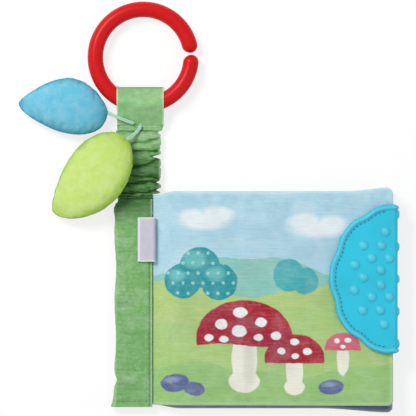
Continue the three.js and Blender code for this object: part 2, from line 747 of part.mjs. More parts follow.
function leafFilling(leaf) {
  const inset = plushThick + clothGap;
  const stations = leafStations.slice(1, -1);
  const outlines = stations.map((along) => {
    const upper = leafArc(leaf, along, inset, 0, 1, 8);
    const lower = leafArc(leaf, along, inset, 0, -1, 8).slice(1, -1).reverse();
    return [...upper, ...lower];
  });
  return loft(outlines, stations.map((along) => acrossX(along * leaf.length)));
}

function stuffedLeaf(leaf, tieEnd) {
  const plush = cloth(leaf.colour);
  const group = new THREE.Group();
  group.rotation.set(leaf.roll, leaf.pitch, leaf.turn, 'ZYX');
  const forward = new THREE.Vector3(1, 0, 0).applyEuler(group.rotation);
  group.position.copy(tieEnd).addScaledVector(forward, 1.5 * clothGap - leafEndShare * leaf.length);
  group.add(piece(`${leaf.name}_front_panel`, leafPanel(leaf, 1), plush));
  group.add(piece(`${leaf.name}_filling`, leafFilling(leaf), filling));
  group.add(piece(`${leaf.name}_back_panel`, leafPanel(leaf, -1), plush));
  return group;
}

// Ties: flat cords from the loop's hem to the leaves.

function tie(points, stepCount) {
  const path = new THREE.CatmullRomCurve3(points);
  const shares = steps(0, 1, stepCount);
  const section = ellipse(tieWidth / 2, tieThick / 2, 8);
  const places = shares.map((share) => {
    const at = path.getPointAt(share);
    const along = path.getTangentAt(share);
    const side = new THREE.Vector3(-along.y, along.x, 0).add(at);
    return acrossPath(at, along, side);
  });
  return loft(shares.map(() => section), places);
}

// The blue leaf's tie lies on the loop's slope and comes down beside it. Each row holds shares of its
// reach, of its run and of the hump's height over the hem.
const blueTieShares = [
  [0, 0, 0.345], [0.22, 0.19, 0.43], [0.45, 0.42, 0.505], [0.67, 0.65, 0.555], [0.85, 0.86, 0.4],
];
const blueTieRoot = new THREE.Vector3(loopX + blueTieShift, loopStartY + tieThick, hemTopZ);
const blueTieSpan = new THREE.Vector3(blueTieReach, blueTieRun, loopTopZ - hemTopZ);
const blueTiePoints = blueTieShares.map(
  (row) => new THREE.Vector3(...row).multiply(blueTieSpan).add(blueTieRoot));
const blueTieEnd = new THREE.Vector3(blueTieRoot.x + blueTieReach, blueTieRoot.y + blueTieRun, leafRestZ);

// The lime leaf's tie lies over the hem and runs up to the leaf on the sleeve's edge. Its heights are shares
// of the leaf's thickness.
const limeTieShares = [[0, 0, 0.073], [0.11, 0.23, 0.15], [0.36, 0.54, 0.25], [0.69, 0.83, 0.4], [1, 1, 0.5]];
const limeTieRoot = new THREE.Vector3(loopX + limeTieShift, hemTopY - clothGap / 2, hemTopZ);
const limeTieSpan = new THREE.Vector3(limeTieReach, limeTieRun, leafThick);
const limeTiePoints = limeTieShares.map(
  (row) => new THREE.Vector3(...row).multiply(limeTieSpan).add(limeTieRoot));

// The book

const book = new THREE.Group();

const backCover = page('back_cover', 0, 'inner_panel', 'outer_panel', meadowCloth, printedCloth);
book.add(backCover);

const middleLeaf = page('middle_leaf', 1, 'front_panel', 'back_panel', printedCloth, meadowCloth);
book.add(middleLeaf);

const frontCover = page('front_cover', 2, 'outer_panel', 'inner_panel', printedCloth, meadowCloth);
frontCover.rotation.y = -coverTilt;
const teetherMesh = piece('teether', geometryOf(teether()), silicone);
teetherMesh.position.z = pageLift(2, pageRamp);
frontCover.add(teetherMesh);
book.add(frontCover);

['back_cover', 'middle_leaf', 'front_cover'].forEach((name, level) => {
  book.add(piece(`${name}_sewn_margin`, sewnMargin(level), marginCloth));
});
book.add(piece('spine_binding', binding(), greenCotton));

const labelMesh = piece('label', label(), labelCloth);
labelMesh.position.set(hingeX, 0, hingeZ);
book.add(labelMesh);

book.add(piece('strap_tail', strapTail(), greenCotton));
book.add(piece('gathered_sleeve', gatheredSleeve(), greenCotton));
const elasticBand = elasticBox(0, strapBendY + 2 * clothGap, sleeveTopY - clothGap);
book.add(piece('elastic_band', elasticBand, elasticCloth));
book.add(piece('loop_hem', hem(), loopCotton));
book.add(piece('strap_loop', strapLoop(), loopCotton));

const ring = piece('ring', linkRing(), redPlastic);
ring.position.set(ringSideX, ringMiddleY, ringMiddleZ);
ring.rotation.set(-ringTilt, 0, ringGapTurn, 'XYZ');
book.add(ring);

book.add(piece('blue_leaf_tie', tie([...blueTiePoints, blueTieEnd], 12), tieCloth));
book.add(stuffedLeaf(blueLeaf, blueTieEnd));
book.add(piece('lime_leaf_tie', tie(limeTiePoints, 10), tieCloth));
book.add(stuffedLeaf(limeLeaf, limeTiePoints.at(-1)));

export default book;
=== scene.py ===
"""Looks of a crinkle cloth book: printed padded pages in a cotton binding, a gathered strap with a link
ring, two stuffed leaves on ties and a soft teether folded round the fore edge.

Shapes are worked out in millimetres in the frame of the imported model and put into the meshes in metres.
+X runs from the spine to the fore edge, +Y from the foot of the pages to the strap, +Z out of the cover.
"""

import math
from functools import reduce

import bmesh
import bpy
import numpy as np
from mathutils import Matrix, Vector


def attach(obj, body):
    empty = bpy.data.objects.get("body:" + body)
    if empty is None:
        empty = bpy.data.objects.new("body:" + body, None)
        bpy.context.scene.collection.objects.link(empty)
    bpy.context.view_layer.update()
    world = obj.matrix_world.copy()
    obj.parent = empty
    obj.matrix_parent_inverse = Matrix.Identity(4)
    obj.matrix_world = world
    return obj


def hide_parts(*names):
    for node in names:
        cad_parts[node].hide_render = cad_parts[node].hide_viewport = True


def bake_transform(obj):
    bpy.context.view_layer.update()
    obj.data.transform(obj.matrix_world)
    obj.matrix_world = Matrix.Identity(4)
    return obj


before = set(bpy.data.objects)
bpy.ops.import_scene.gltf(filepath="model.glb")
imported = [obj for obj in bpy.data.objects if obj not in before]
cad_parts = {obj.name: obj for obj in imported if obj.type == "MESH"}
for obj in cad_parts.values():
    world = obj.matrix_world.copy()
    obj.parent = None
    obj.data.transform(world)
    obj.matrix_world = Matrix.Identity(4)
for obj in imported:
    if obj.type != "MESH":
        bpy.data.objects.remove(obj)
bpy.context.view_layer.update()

bl_info = {
    "name": "Cloth Book Pieces",
    "version": (1, 0, 0),
    "blender": (4, 5, 0),
    "location": "View3D > Sidebar > Cloth Book",
    "description": "Makes the cloth, plush, silicone and plastic pieces of a crinkle cloth book",
    "category": "Add Mesh",
}

MM = 0.001  # metres in a millimetre
WELD = 2e-6  # metres within which two points are one

# Sizes that the looks share with the solids, in millimetres
CLOTH_GAP = 0.3
PAGE_WIDTH, PAGE_HEIGHT, PAGE_THICK = 124.5, 111.3, 2.8
PAGE_EDGE = 1.2
PAGE_ROLL = 5.0
PAGE_RAMP = 14.0
COVER_LEVEL = 2
FILM_INSET = 6.0
MARGIN_THICK = 1.0
PAGE_START = -PAGE_WIDTH / 2
FIRST_PAGE_Z = 1.4
PAGE_PITCH = 1.3
BINDING_EDGE = PAGE_START - 2 * CLOTH_GAP
BINDING_WIDTH = 19.35
BINDING_LEFT = BINDING_EDGE - BINDING_WIDTH
BINDING_MIDDLE = BINDING_EDGE - BINDING_WIDTH / 2
BINDING_THICK = 5.4
BINDING_WALL = 0.6
BINDING_TOP = PAGE_HEIGHT / 2 - 4.2
BINDING_FOOT = -PAGE_HEIGHT / 2 - 1.1
SEAM_X = BINDING_EDGE - 1.25
FOOT_SEAM_Y = -53.7
HINGE_X, HINGE_Z = BINDING_EDGE + CLOTH_GAP, 7.0
LABEL_REACH, LABEL_HEIGHT = 9.6, 23.4
LABEL_TOP = BINDING_TOP - 9.3
SLEEVE_X = BINDING_MIDDLE + 2.3
SLEEVE_WIDTH, SLEEVE_THICK = 23.4, 6.0
SLEEVE_TOP = BINDING_TOP + 35.3
STRAP_SPLIT = BINDING_TOP + 7.4 + 4.85
HEM_START = SLEEVE_TOP + CLOTH_GAP
HEM_END = HEM_START + 2.7
HEM_THICK = 4.6
LOOP_X = BINDING_MIDDLE + 3.5
LOOP_WIDTH, LOOP_LENGTH, LOOP_CLOTH = 24.4, 19.8, 0.6
LOOP_START = HEM_END + CLOTH_GAP
RING_SECTION = 7.75
RING_RADIUS = (57.6 - RING_SECTION) / 2
RING_X = BINDING_MIDDLE + 5
RING_DROP = 5.6
RING_LOW_Y = LOOP_START + LOOP_CLOTH + CLOTH_GAP + RING_DROP + RING_SECTION / 2
RING_LOW_Z = 2.5 * CLOTH_GAP + LOOP_CLOTH + RING_SECTION / 2
RING_TILT = math.asin((RING_LOW_Z - RING_SECTION / 2) / (2 * RING_RADIUS))
RING_Y = RING_LOW_Y + RING_RADIUS * math.cos(RING_TILT)
RING_Z = RING_LOW_Z - RING_RADIUS * math.sin(RING_TILT)
LOOP_TOP_Z = RING_LOW_Z + RING_SECTION / 2 + CLOTH_GAP + LOOP_CLOTH
TEETHER_REACH, TEETHER_HEIGHT, TEETHER_PLATE = 33.3, 77.0, 1.6
TEETHER_OFFSET = 10.0
TEETHER_INNER = PAGE_THICK / 2 + CLOTH_GAP
TEETHER_OUTER = TEETHER_INNER + TEETHER_PLATE
TEETHER_MIDDLE = (TEETHER_INNER + TEETHER_OUTER) / 2
TEETHER_ARC = math.pi / 2 * TEETHER_MIDDLE
TEETHER_NOSE = PAGE_WIDTH + CLOTH_GAP
COVER_TILT = math.atan((CLOTH_GAP + TEETHER_PLATE + 0.8) / (PAGE_WIDTH - TEETHER_REACH))
LEAF_THICK = 11.0

# The six panels from the table up, each with its print, and the body of each page
PANELS = [
    ("back_cover_outer_panel", "cloud"), ("back_cover_inner_panel", "field"),
    ("middle_leaf_back_panel", "cloud"), ("middle_leaf_front_panel", "shore"),
    ("front_cover_inner_panel", "field"), ("front_cover_outer_panel", "landscape"),
]
PAGE_BODIES = ["book", "middle_leaf", "front_cover"]

# Places of the domes: shares of the reach from the fold, and of half the height from the middle
DOMES = [
    (0.13, 0.635), (0.47, 0.45), (0.19, 0.45), (0.34, 0.28), (0.07, 0.275), (0.6, 0.19), (0.2, 0.12),
    (0.47, 0.02), (0.2, -0.08), (0.61, -0.15), (0.34, -0.24), (0.07, -0.24), (0.48, -0.42), (0.21, -0.42),
    (0.15, -0.61),
]

# Creases of the strap's gathers: the height of each at the left edge, the middle and the right edge
CREASES = np.array([
    (51.0, 51.2, 51.2), (52.9, 52.8, 53.0), (55.3, 54.4, 56.2), (57.6, 60.2, 60.3),
    (64.2, 63.5, 62.1), (68.6, 68.1, 73.5), (76.8, 76.4, 76.9), (80.0, 80.6, 83.8),
    (86.6, 86.9, 86.2), (89.0, 89.2, 89.2),
])

# Notches in the strap's two edges: height, depth and half width of each
RIGHT_NOTCHES = [(86.0, 1.5, 0.9), (79.3, 0.5, 0.6), (73.6, 3.9, 0.8), (68.2, 0.5, 0.7), (60.3, 1.9, 0.9),
                 (56.3, 2.1, 0.8), (53.4, 3.2, 1.0)]
LEFT_NOTCHES = [(84.2, 0.9, 0.7), (77.0, 1.5, 0.8), (69.6, 1.2, 0.8), (64.0, 1.4, 0.8), (57.7, 1.2, 0.9),
                (53.6, 0.9, 1.6)]

# Curls of spare cloth on the strap: place and reach
CURLS = [(-65.3, 73.4, 1.5), (-62.4, 58.2, 1.7)]

# The leaves: length, and turns in degrees; half width, skew and fullness of each side; the tie's root, its
# span, the shares of the span at its knots, and the offset of its sewn end; and the colour of the painted
# shade along the leaf's seam and ends
LEAVES = {
    "blue_leaf": dict(
        length=46.4, turns=(0.0, -0.8, 173.5), left=(14.1, 0.68, 0.58), right=(16.9, 0.84, 0.8),
        root=(LOOP_X - 4.2, LOOP_START + 1.0, 4.9), span=(-13.0, 5.2, LOOP_TOP_Z - 4.9),
        shares=[(0, 0, 0.345), (0.22, 0.19, 0.43), (0.45, 0.42, 0.505), (0.67, 0.65, 0.555),
                (0.85, 0.86, 0.4)],
        end=(LOOP_X - 4.2 - 13.0, LOOP_START + 1.0 + 5.2, 5.8), sewn=(0.5, -0.4, -0.3),
        tie_body="blue_leaf", plush="blue_plush", edge=(36, 136, 166)),
    "lime_leaf": dict(
        length=54.4, turns=(17.0, 6.5, -135.4), left=(20.7, 0.96, 0.53), right=(16.8, 0.72, 0.68),
        root=(LOOP_X + 0.2, HEM_END - 0.15, 4.9), span=(-7.3, -7.2, 11.0),
        shares=[(0, 0, 0.073), (0.11, 0.23, 0.15), (0.36, 0.54, 0.25), (0.69, 0.83, 0.4), (1, 1, 0.5)],
        end=None, sewn=(0.9, 0.5, -1.3), tie_body="lime_tie", plush="lime_plush", edge=(138, 178, 44)),
}

# The stage, in metres: lamps by place, width, power and tint
TABLE_HALF, TABLE_Z = 3.0, -0.0003
CAMERA_PLACE, LAMP_AIM = (-0.0338, 0.0468, 1.328), (-0.02, 0.03, 0)
LAMPS = {
    "key": ((-0.48, 0.5, 0.72), 0.34, 6.0, (1.0, 0.99, 0.97)),
    "fill": ((0.62, -0.28, 0.7), 0.9, 1.5, (0.95, 0.98, 1.0)),
}


def srgb(red, green, blue):
    """A colour given as it looks on a screen, in linear light."""
    shown = np.array([red, green, blue]) / 255
    return tuple(np.where(shown <= 0.04045, shown / 12.92, ((shown + 0.055) / 1.055) ** 2.4))


def darker(ink, share):
    return tuple(channel * share for channel in ink)


def paler(ink, share):
    return tuple(1 - (1 - channel) * share for channel in ink)


# Sizes and colours a user may change


def length(description, millimetres):
    return bpy.props.FloatProperty(description=description, default=millimetres * MM, min=0, precision=5,
                                   subtype="DISTANCE", unit="LENGTH")


def colour(description, red, green, blue):
    return bpy.props.FloatVectorProperty(description=description, default=srgb(red, green, blue), min=0,
                                         max=1, size=3, subtype="COLOR")


class ClothBookSizes(bpy.types.PropertyGroup):
    page_ripple: length("Depth of the soft ripples in a page", 0.42)
    page_weave: length("Distance from thread to thread of the printed cloth", 0.46)
    cotton_weave: length("Distance from thread to thread of the green cotton", 0.5)
    binding_pucker: length("Depth of the puckers in the binding", 0.16)
    crease_depth: length("How deep the strap's gathers draw in", 1.35)
    wrinkle_depth: length("Depth of the fine wrinkles between two gathers", 0.3)
    stitch_length: length("Length of one stitch", 1.9)
    stitch_gap: length("Distance between two stitches", 0.75)
    thread_width: length("Width of the sewing thread", 0.42)
    dome_radius: length("Radius of a teether dome", 2.25)
    dome_height: length("Height of a teether dome", 1.1)
    plush_pile: length("Scale of the plush's pile", 0.55)
    leaf_swell: length("How far the filling may push a leaf's cloth", 0.9)


class ClothBookColours(bpy.types.PropertyGroup):
    sky: colour("Sky of the print", 178, 219, 234)
    mint: colour("Far hills of the print", 142, 203, 190)
    meadow: colour("Middle meadow of the print", 180, 208, 124)
    lawn: colour("Near meadow of the print", 172, 207, 122)
    crimson: colour("Toadstools of the print", 172, 12, 34)
    pink: colour("Small toadstool of the print", 215, 96, 112)
    teal: colour("Bushes of the print", 0, 152, 160)
    slate: colour("Stones of the print and its folds", 90, 106, 150)
    cream: colour("Stems of the print", 244, 243, 226)
    cotton: colour("Green cotton of the binding", 124, 180, 108)
    cotton_shade: colour("Green cotton in its folds", 34, 76, 20)
    strap: colour("Lighter green cotton of the loop", 134, 188, 122)
    label: colour("Woven label", 200, 196, 214)
    teether: colour("Soft silicone", 38, 194, 222)
    ring: colour("Glossy plastic of the link ring", 204, 20, 24)
    blue_plush: colour("Plush of the blue leaf", 104, 187, 214)
    lime_plush: colour("Plush of the lime leaf", 190, 216, 116)
    tie: colour("Cords of the leaves", 174, 220, 194)
    film: colour("Crinkle film in the pages", 232, 238, 240)


def chosen():
    """The user's sizes, in millimetres by name, and colours by name."""
    size, ink = bpy.context.scene.cloth_book_sizes, bpy.context.scene.cloth_book_colours
    return ({name: getattr(size, name) / MM for name in ClothBookSizes.__annotations__},
            {name: tuple(getattr(ink, name)) for name in ClothBookColours.__annotations__})


# Sums on arrays


def ease(value, run):
    """Goes from 0 to 1 with flat ends as value goes from 0 to run: 3 s^2 - 2 s^3 of the share s."""
    share = np.clip(value / run, 0, 1)
    return share * share * (3 - 2 * share)


def bell(value, half):
    """1 at nought, falling off on both sides: e to the power -(value / half)^2."""
    return np.exp(-((value / half) ** 2))


def quarter_round(value, run):
    """Rises from 0 to 1 along a quarter circle as value goes from 0 to run."""
    return np.sqrt(1 - (1 - np.clip(value / run, 0, 1)) ** 2)


def signed_power(value, power):
    """Raises the size of value to a power and keeps its sign."""
    return np.sign(value) * np.abs(value) ** power


def smooth_max(first, second, reach):
    """The larger of two values, with the corner between them rounded over reach."""
    share = np.clip(0.5 + 0.5 * (first - second) / reach, 0, 1)
    return second + (first - second) * share + reach * share * (1 - share)


def soft_least(*values, power=5):
    """The least of several positive values, rounded where two are alike: the -power norm."""
    return sum(np.maximum(value, 1e-3) ** -power for value in values) ** (-1 / power)


def unit(rows):
    """Directions brought to length one."""
    return rows / np.linalg.norm(rows, axis=-1, keepdims=True)


def xyz(x, y, z):
    """Points from three coordinates whose arrays or numbers fit one another."""
    return np.stack(np.broadcast_arrays(x, y, z), -1)


def circle(count):
    """Angles of a full turn, in one row."""
    return np.linspace(0, 2 * np.pi, count, endpoint=False)[None]


def turning(axis, angle):
    """The matrix that turns points about the axis of that number."""
    first, second = (axis + 1) % 3, (axis + 2) % 3
    matrix = np.eye(3)
    matrix[first, first] = matrix[second, second] = math.cos(angle)
    matrix[second, first], matrix[first, second] = math.sin(angle), -math.sin(angle)
    return matrix


def ripples(points, lengths, seed, count=16):
    """Soft random swell from about -1 to 1: sine waves in seeded directions, lengths long by axis."""
    random = np.random.default_rng(seed)
    turns = unit(random.normal(size=(count, 3)))
    turns *= random.uniform(0.6, 1.5, (count, 1))
    phases = random.uniform(0, 2 * np.pi, count)
    return np.sin(points @ (2 * np.pi * turns / np.asarray(lengths)).T + phases).sum(-1) / np.sqrt(count)


def smooth_path(points, count):
    """Points on a curve through the given ones: cubic pieces with slopes from each point's neighbours, by
    the distance run."""
    ahead = np.concatenate([points, [2 * points[-1] - points[-2]]])
    before = np.concatenate([[2 * points[0] - points[1]], points])
    slopes = (ahead[1:] - before[:-1]) / 2
    place = np.linspace(0, len(points) - 1, count)
    index = np.minimum(place.astype(int), len(points) - 2)
    share = (place - index)[:, None]
    return (points[index] * (1 + 2 * share) * (1 - share) ** 2 + slopes[index] * share * (1 - share) ** 2
            + points[index + 1] * share**2 * (3 - 2 * share) + slopes[index + 1] * share**2 * (share - 1))


def grid_faces(rows, columns, wrap=False):
    """Four-sided faces between neighbouring rows and columns; wrap joins the last column to the first."""
    row = np.arange(rows - 1)[:, None]
    column = np.arange(columns if wrap else columns - 1)[None, :]
    beside = (column + 1) % columns
    corners = [row * columns + column, row * columns + beside,
               (row + 1) * columns + beside, (row + 1) * columns + column]
    return np.stack(np.broadcast_arrays(*corners), -1).reshape(-1, 4)


def shell(outer, inner, wrap=False):
    """A wall between two grids of the same size: both grids' faces and the rims that join their borders."""
    rows, columns = outer.shape[:2]
    index = np.arange(rows * columns).reshape(rows, columns)
    borders = [index[0], index[-1]] + ([] if wrap else [index[:, 0], index[:, -1]])
    faces = [grid_faces(rows, columns, wrap)]
    faces.append(faces[0][:, ::-1] + index.size)
    for border in borders:
        here, beside = (border, np.roll(border, -1)) if wrap else (border[:-1], border[1:])
        faces.append(np.stack([here, beside, beside + index.size, here + index.size], -1))
    return np.concatenate([outer.reshape(-1, 3), inner.reshape(-1, 3)]), np.concatenate(faces)


def tube(rows):
    """A closed body from loops of points: each end loop is drawn in to its middle."""
    first, last = (np.broadcast_to(end.mean(1, keepdims=True), end.shape) for end in (rows[:1], rows[-1:]))
    loops = np.concatenate([first, rows, last])
    return loops.reshape(-1, 3), grid_faces(*loops.shape[:2], wrap=True)


def both(outer, inner=0.0):
    """Tones of a shell: those of its outer grid, then of its inner one."""
    return np.stack(np.broadcast_arrays(outer, inner))


def capped(values, ends=0.0):
    """Tones of a tube: those of its loops, between those of its two drawn in ends."""
    return np.pad(values, ((1, 1), (0, 0)), constant_values=ends)


def make(name, form, material, tones=None, crisp=50.0):
    """A smooth-shaded object from points in millimetres and faces, its doubles merged and its faces turned
    outwards. tones are numbers from 0 to 1 on its points for its material; "rest" keeps a point's place."""
    points, faces = form
    mesh = bpy.data.meshes.new(name)
    mesh.from_pydata((points * MM).tolist(), [], faces.tolist())
    layer = mesh.attributes.new("rest", "FLOAT_VECTOR", "POINT")
    layer.data.foreach_set("vector", points.astype(np.float32).ravel())
    for key, values in (tones or {}).items():
        layer = mesh.attributes.new(key, "FLOAT", "POINT")
        layer.data.foreach_set("value", np.clip(values, 0, 1).astype(np.float32).ravel())
    body = bmesh.new()
    body.from_mesh(mesh)
    bmesh.ops.remove_doubles(body, verts=body.verts, dist=WELD)
    bmesh.ops.dissolve_degenerate(body, edges=body.edges, dist=WELD / 4)
    bmesh.ops.recalc_face_normals(body, faces=body.faces)
    body.to_mesh(mesh)
    body.free()
    mesh.polygons.foreach_set("use_smooth", np.ones(len(mesh.polygons), bool))
    mesh.set_sharp_from_angle(angle=math.radians(crisp))
    mesh.materials.append(material)
    piece = bpy.data.objects.new(name, mesh)
    bpy.context.scene.collection.objects.link(piece)
    return piece


def stitches(path, upward, size, sunk):
    """A row of stitches: capsules laid end to end along a path, sunk by a share of a millimetre. A point of
    one is the path's place plus its side and upward directions times the circle of its section."""
    run = np.concatenate([[0], np.cumsum(np.linalg.norm(np.diff(path, axis=0), axis=1))])
    count = max(1, int(run[-1] / (size["stitch_length"] + size["stitch_gap"])))
    middles = (np.arange(count) + 0.5) * run[-1] / count
    along, around = np.sin(np.linspace(-np.pi / 2, np.pi / 2, 9)), circle(8)[..., None]
    place = np.clip(middles[:, None] + along * size["stitch_length"] / 2, 0, run[-1])

    def on_path(values):
        return np.stack([np.interp(place, run, values[:, axis]) for axis in range(3)], -1)[:, :, None]

    upward = np.broadcast_to(upward, path.shape)
    side = unit(np.cross(unit(np.gradient(path, axis=0)), upward))
    thick = (size["thread_width"] / 2) * np.sqrt(np.clip(1 - along**4, 0, 1))[None, :, None, None]
    middle = on_path(path) - on_path(upward) * sunk
    points = middle + thick * (np.cos(around) * on_path(side) + np.sin(around) * on_path(upward))
    offsets = np.arange(count)[:, None, None] * points[0, ..., 0].size
    return points.reshape(-1, 3), (grid_faces(*points.shape[1:3], wrap=True) + offsets).reshape(-1, 4)


def place_piece(piece, body, slot, *nodes):
    """Hides the solids that a piece stands for, and rides it on a body if there is one."""
    if body:
        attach(piece, body)
    if nodes:
        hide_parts(*nodes)
    return piece


def sew(name, rows, size, material, body, slot, sunk=0.1):
    """One piece of stitches along several rows, each a path and its upward direction."""
    points, faces = zip(*(stitches(path, upward, size, sunk) for path, upward in rows))
    starts = np.cumsum([0] + [len(part) for part in points[:-1]])
    form = np.concatenate(points), np.concatenate([part + start for part, start in zip(faces, starts)])
    place_piece(make(name, form, material), body, slot)


# Shader maths


def maths(operation, swapped=False):
    """A method that adds a Math node to its wire and the given values."""
    def method(self, *others):
        values = (*others, self) if swapped else (self, *others)
        return self.nodes.add("ShaderNodeMath", dict(enumerate(values)), operation=operation)[0]
    return method


class Wire:
    """A socket's value in a node tree; sums on it add Math nodes."""

    def __init__(self, nodes, socket):
        self.nodes, self.socket = nodes, socket

    __add__, __radd__ = maths("ADD"), maths("ADD", swapped=True)
    __sub__, __rsub__ = maths("SUBTRACT"), maths("SUBTRACT", swapped=True)
    __mul__, __pow__, __abs__ = maths("MULTIPLY"), maths("POWER"), maths("ABSOLUTE")
    least, most, sine = maths("MINIMUM"), maths("MAXIMUM"), maths("SINE")
    fraction, whole, root = maths("FRACT"), maths("FLOOR"), maths("SQRT")

    def clip(self):
        return self.nodes.add("ShaderNodeClamp", {"Value": self})["Result"]

    def wave(self):
        """A sine wave from 0 to 1."""
        return self.sine() * 0.5 + 0.5


class Nodes:
    """A node tree, emptied for new nodes."""

    def __init__(self, tree):
        self.tree = tree
        tree.nodes.clear()

    def feed(self, socket, value):
        """Links a wire to a socket, or writes a plain value on it."""
        if isinstance(value, Wire):
            self.tree.links.new(value.socket, socket)
        elif socket.type == "RGBA":
            socket.default_value = (*value, 1)
        else:
            socket.default_value = value

    def add(self, kind, inputs=None, **settings):
        """Adds a node with its sockets fed by name or place, and gives a look-up of its outputs as wires."""
        node = self.tree.nodes.new(kind)
        for key, value in settings.items():
            setattr(node, key, value)
        for key, value in (inputs or {}).items():
            self.feed(node.inputs[key], value)
        return Outputs(self, node)

    def blend(self, share, first, second):
        """A shader between two."""
        return self.add("ShaderNodeMixShader", {0: share, 1: first, 2: second})[0]


class Outputs:
    """The outputs of a node by name or place, each as a wire."""

    def __init__(self, nodes, node):
        self.nodes, self.node = nodes, node

    def __getitem__(self, key):
        return Wire(self.nodes, self.node.outputs[key])


class Finish(Nodes):
    """A node material with one shader, and the patterns that feed it."""

    def __init__(self, name, **constants):
        self.material = bpy.data.materials.new(name)
        self.material.use_nodes = True
        super().__init__(self.material.node_tree)
        self.shader = self.tree.nodes.new("ShaderNodeBsdfPrincipled")
        self.end = self.tree.nodes.new("ShaderNodeOutputMaterial").inputs["Surface"]
        self.tree.links.new(self.shader.outputs["BSDF"], self.end)
        for key, value in constants.items():
            self.feed(self.shader.inputs[key.replace("_", " ").title().replace("Ior", "IOR")], value)

    def mix(self, share, first, second):
        """A colour that goes from the first to the second as share goes from 0 to 1."""
        return self.add("ShaderNodeMix", {0: share, 6: first, 7: second}, data_type="RGBA")[2]

    def layers(self, ground, *covers):
        """A ground with colours laid over it in turn, each by its share."""
        return reduce(lambda tint, cover: self.mix(cover[0], tint, cover[1]), covers, ground)

    def vector(self, operation, first, second):
        return self.add("ShaderNodeVectorMath", {0: first, 1: second}, operation=operation)[0]

    def rest(self):
        """The place of the piece's points when it was made, in millimetres."""
        return self.add("ShaderNodeAttribute", attribute_name="rest")["Vector"]

    def place(self):
        """The place in the object's own coordinates, in millimetres."""
        return self.vector("MULTIPLY", self.add("ShaderNodeTexCoord")["Object"], (1 / MM,) * 3)

    def axes(self, place):
        parts = self.add("ShaderNodeSeparateXYZ", {0: place})
        return parts["X"], parts["Y"], parts["Z"]

    def tone(self, name):
        return self.add("ShaderNodeAttribute", attribute_name=name)["Fac"]

    def noise(self, place, millimetres, detail=2.0, rough=0.5, distortion=0.0):
        """Soft noise from 0 to 1 whose lumps are about so many millimetres across."""
        return self.add("ShaderNodeTexNoise", {
            "Vector": place, "Scale": 1 / millimetres, "Detail": detail, "Roughness": rough,
            "Distortion": distortion})["Fac"]

    def weave(self, across, along, pitch):
        """Height of a plain weave from 0 to 1: two sets of threads that cross over and under in turn."""
        first, second = ((run * (math.pi / pitch)).sine() for run in (across, along))
        turn = first * second * 0.5 + 0.5
        return (abs(first) * turn).most(abs(second) * (1 - turn))

    def done(self, tint, rough, height, millimetres, strength):
        """Feeds the shader's colour, roughness and bump, and gives the material."""
        bump = {"Height": height, "Distance": millimetres * MM, "Strength": strength}
        normal = self.add("ShaderNodeBump", bump)["Normal"]
        for key, value in (("Base Color", tint), ("Roughness", rough), ("Normal", normal)):
            self.feed(self.shader.inputs[key], value)
        return self.material


def cotton_finish(name, ink, size, contrast=0.5, ribs=0.0, solid=False):
    """Woven cotton: blotchy dye, threads with painted shade between them, painted shade in its folds, paler
    edges and ridges of painted highlight and some wear and, with ribs, fine puckers with painted highlight on
    their crests. A solid keeps no rest places, so its object's coordinates stand in."""
    base, shade = ink["cotton"], ink["cotton_shade"]
    finish = Finish(name, sheen_weight=0.12, sheen_roughness=0.5, specular_ior_level=0.12)
    place = finish.place() if solid else finish.rest()
    x, y, z = finish.axes(place)
    blotch = finish.noise(place, 7.5, 3, 0.6)
    speck = finish.noise(place, 1.5, 2, 0.6)
    weave = finish.weave(x, y + z, size["cotton_weave"])
    pale = paler(base, 0.72)
    # the shade colour goes between the threads and into the folds as painted shade; the pale colour on edges
    # and ridges is painted highlight, with some wear
    tint = finish.layers(
        base, ((blotch - 0.42) * 2.2 * contrast, pale), ((0.48 - speck).clip() * contrast, shade),
        ((speck - 0.56).clip() * 3.0, pale), ((1 - weave) * 0.16, shade), (finish.tone("hollow"), shade),
        (finish.tone("worn") * (0.35 + speck * 0.5), pale))
    height = weave * 0.5 + speck * 0.4
    if ribs:
        rib = finish.noise(finish.vector("MULTIPLY", place, (0.16, 0.85, 0.85)), 1.4, 3, 0.6)
        height = height + rib * ribs
        # painted highlight on the crests of the puckers
        tint = finish.mix((rib - 0.5).clip() * 0.9, tint, pale)
    return finish.done(tint, 0.82 + blotch * 0.14, height, 0.16, 0.8)


def thread_finish(name, base):
    """Twisted sewing thread: slanting plies across a slightly shiny strand."""
    finish = Finish(name, sheen_weight=0.3, specular_ior_level=0.35)
    place = finish.rest()
    x, y, z = finish.axes(place)
    twist = ((x + y) * 9.0 + z * 5.0).wave()
    tint = finish.mix(twist * 0.7, base, darker(base, 0.6))
    return finish.done(tint, 0.55 + finish.noise(place, 1.2) * 0.25, twist, 0.08, 0.7)


# Printed cloth


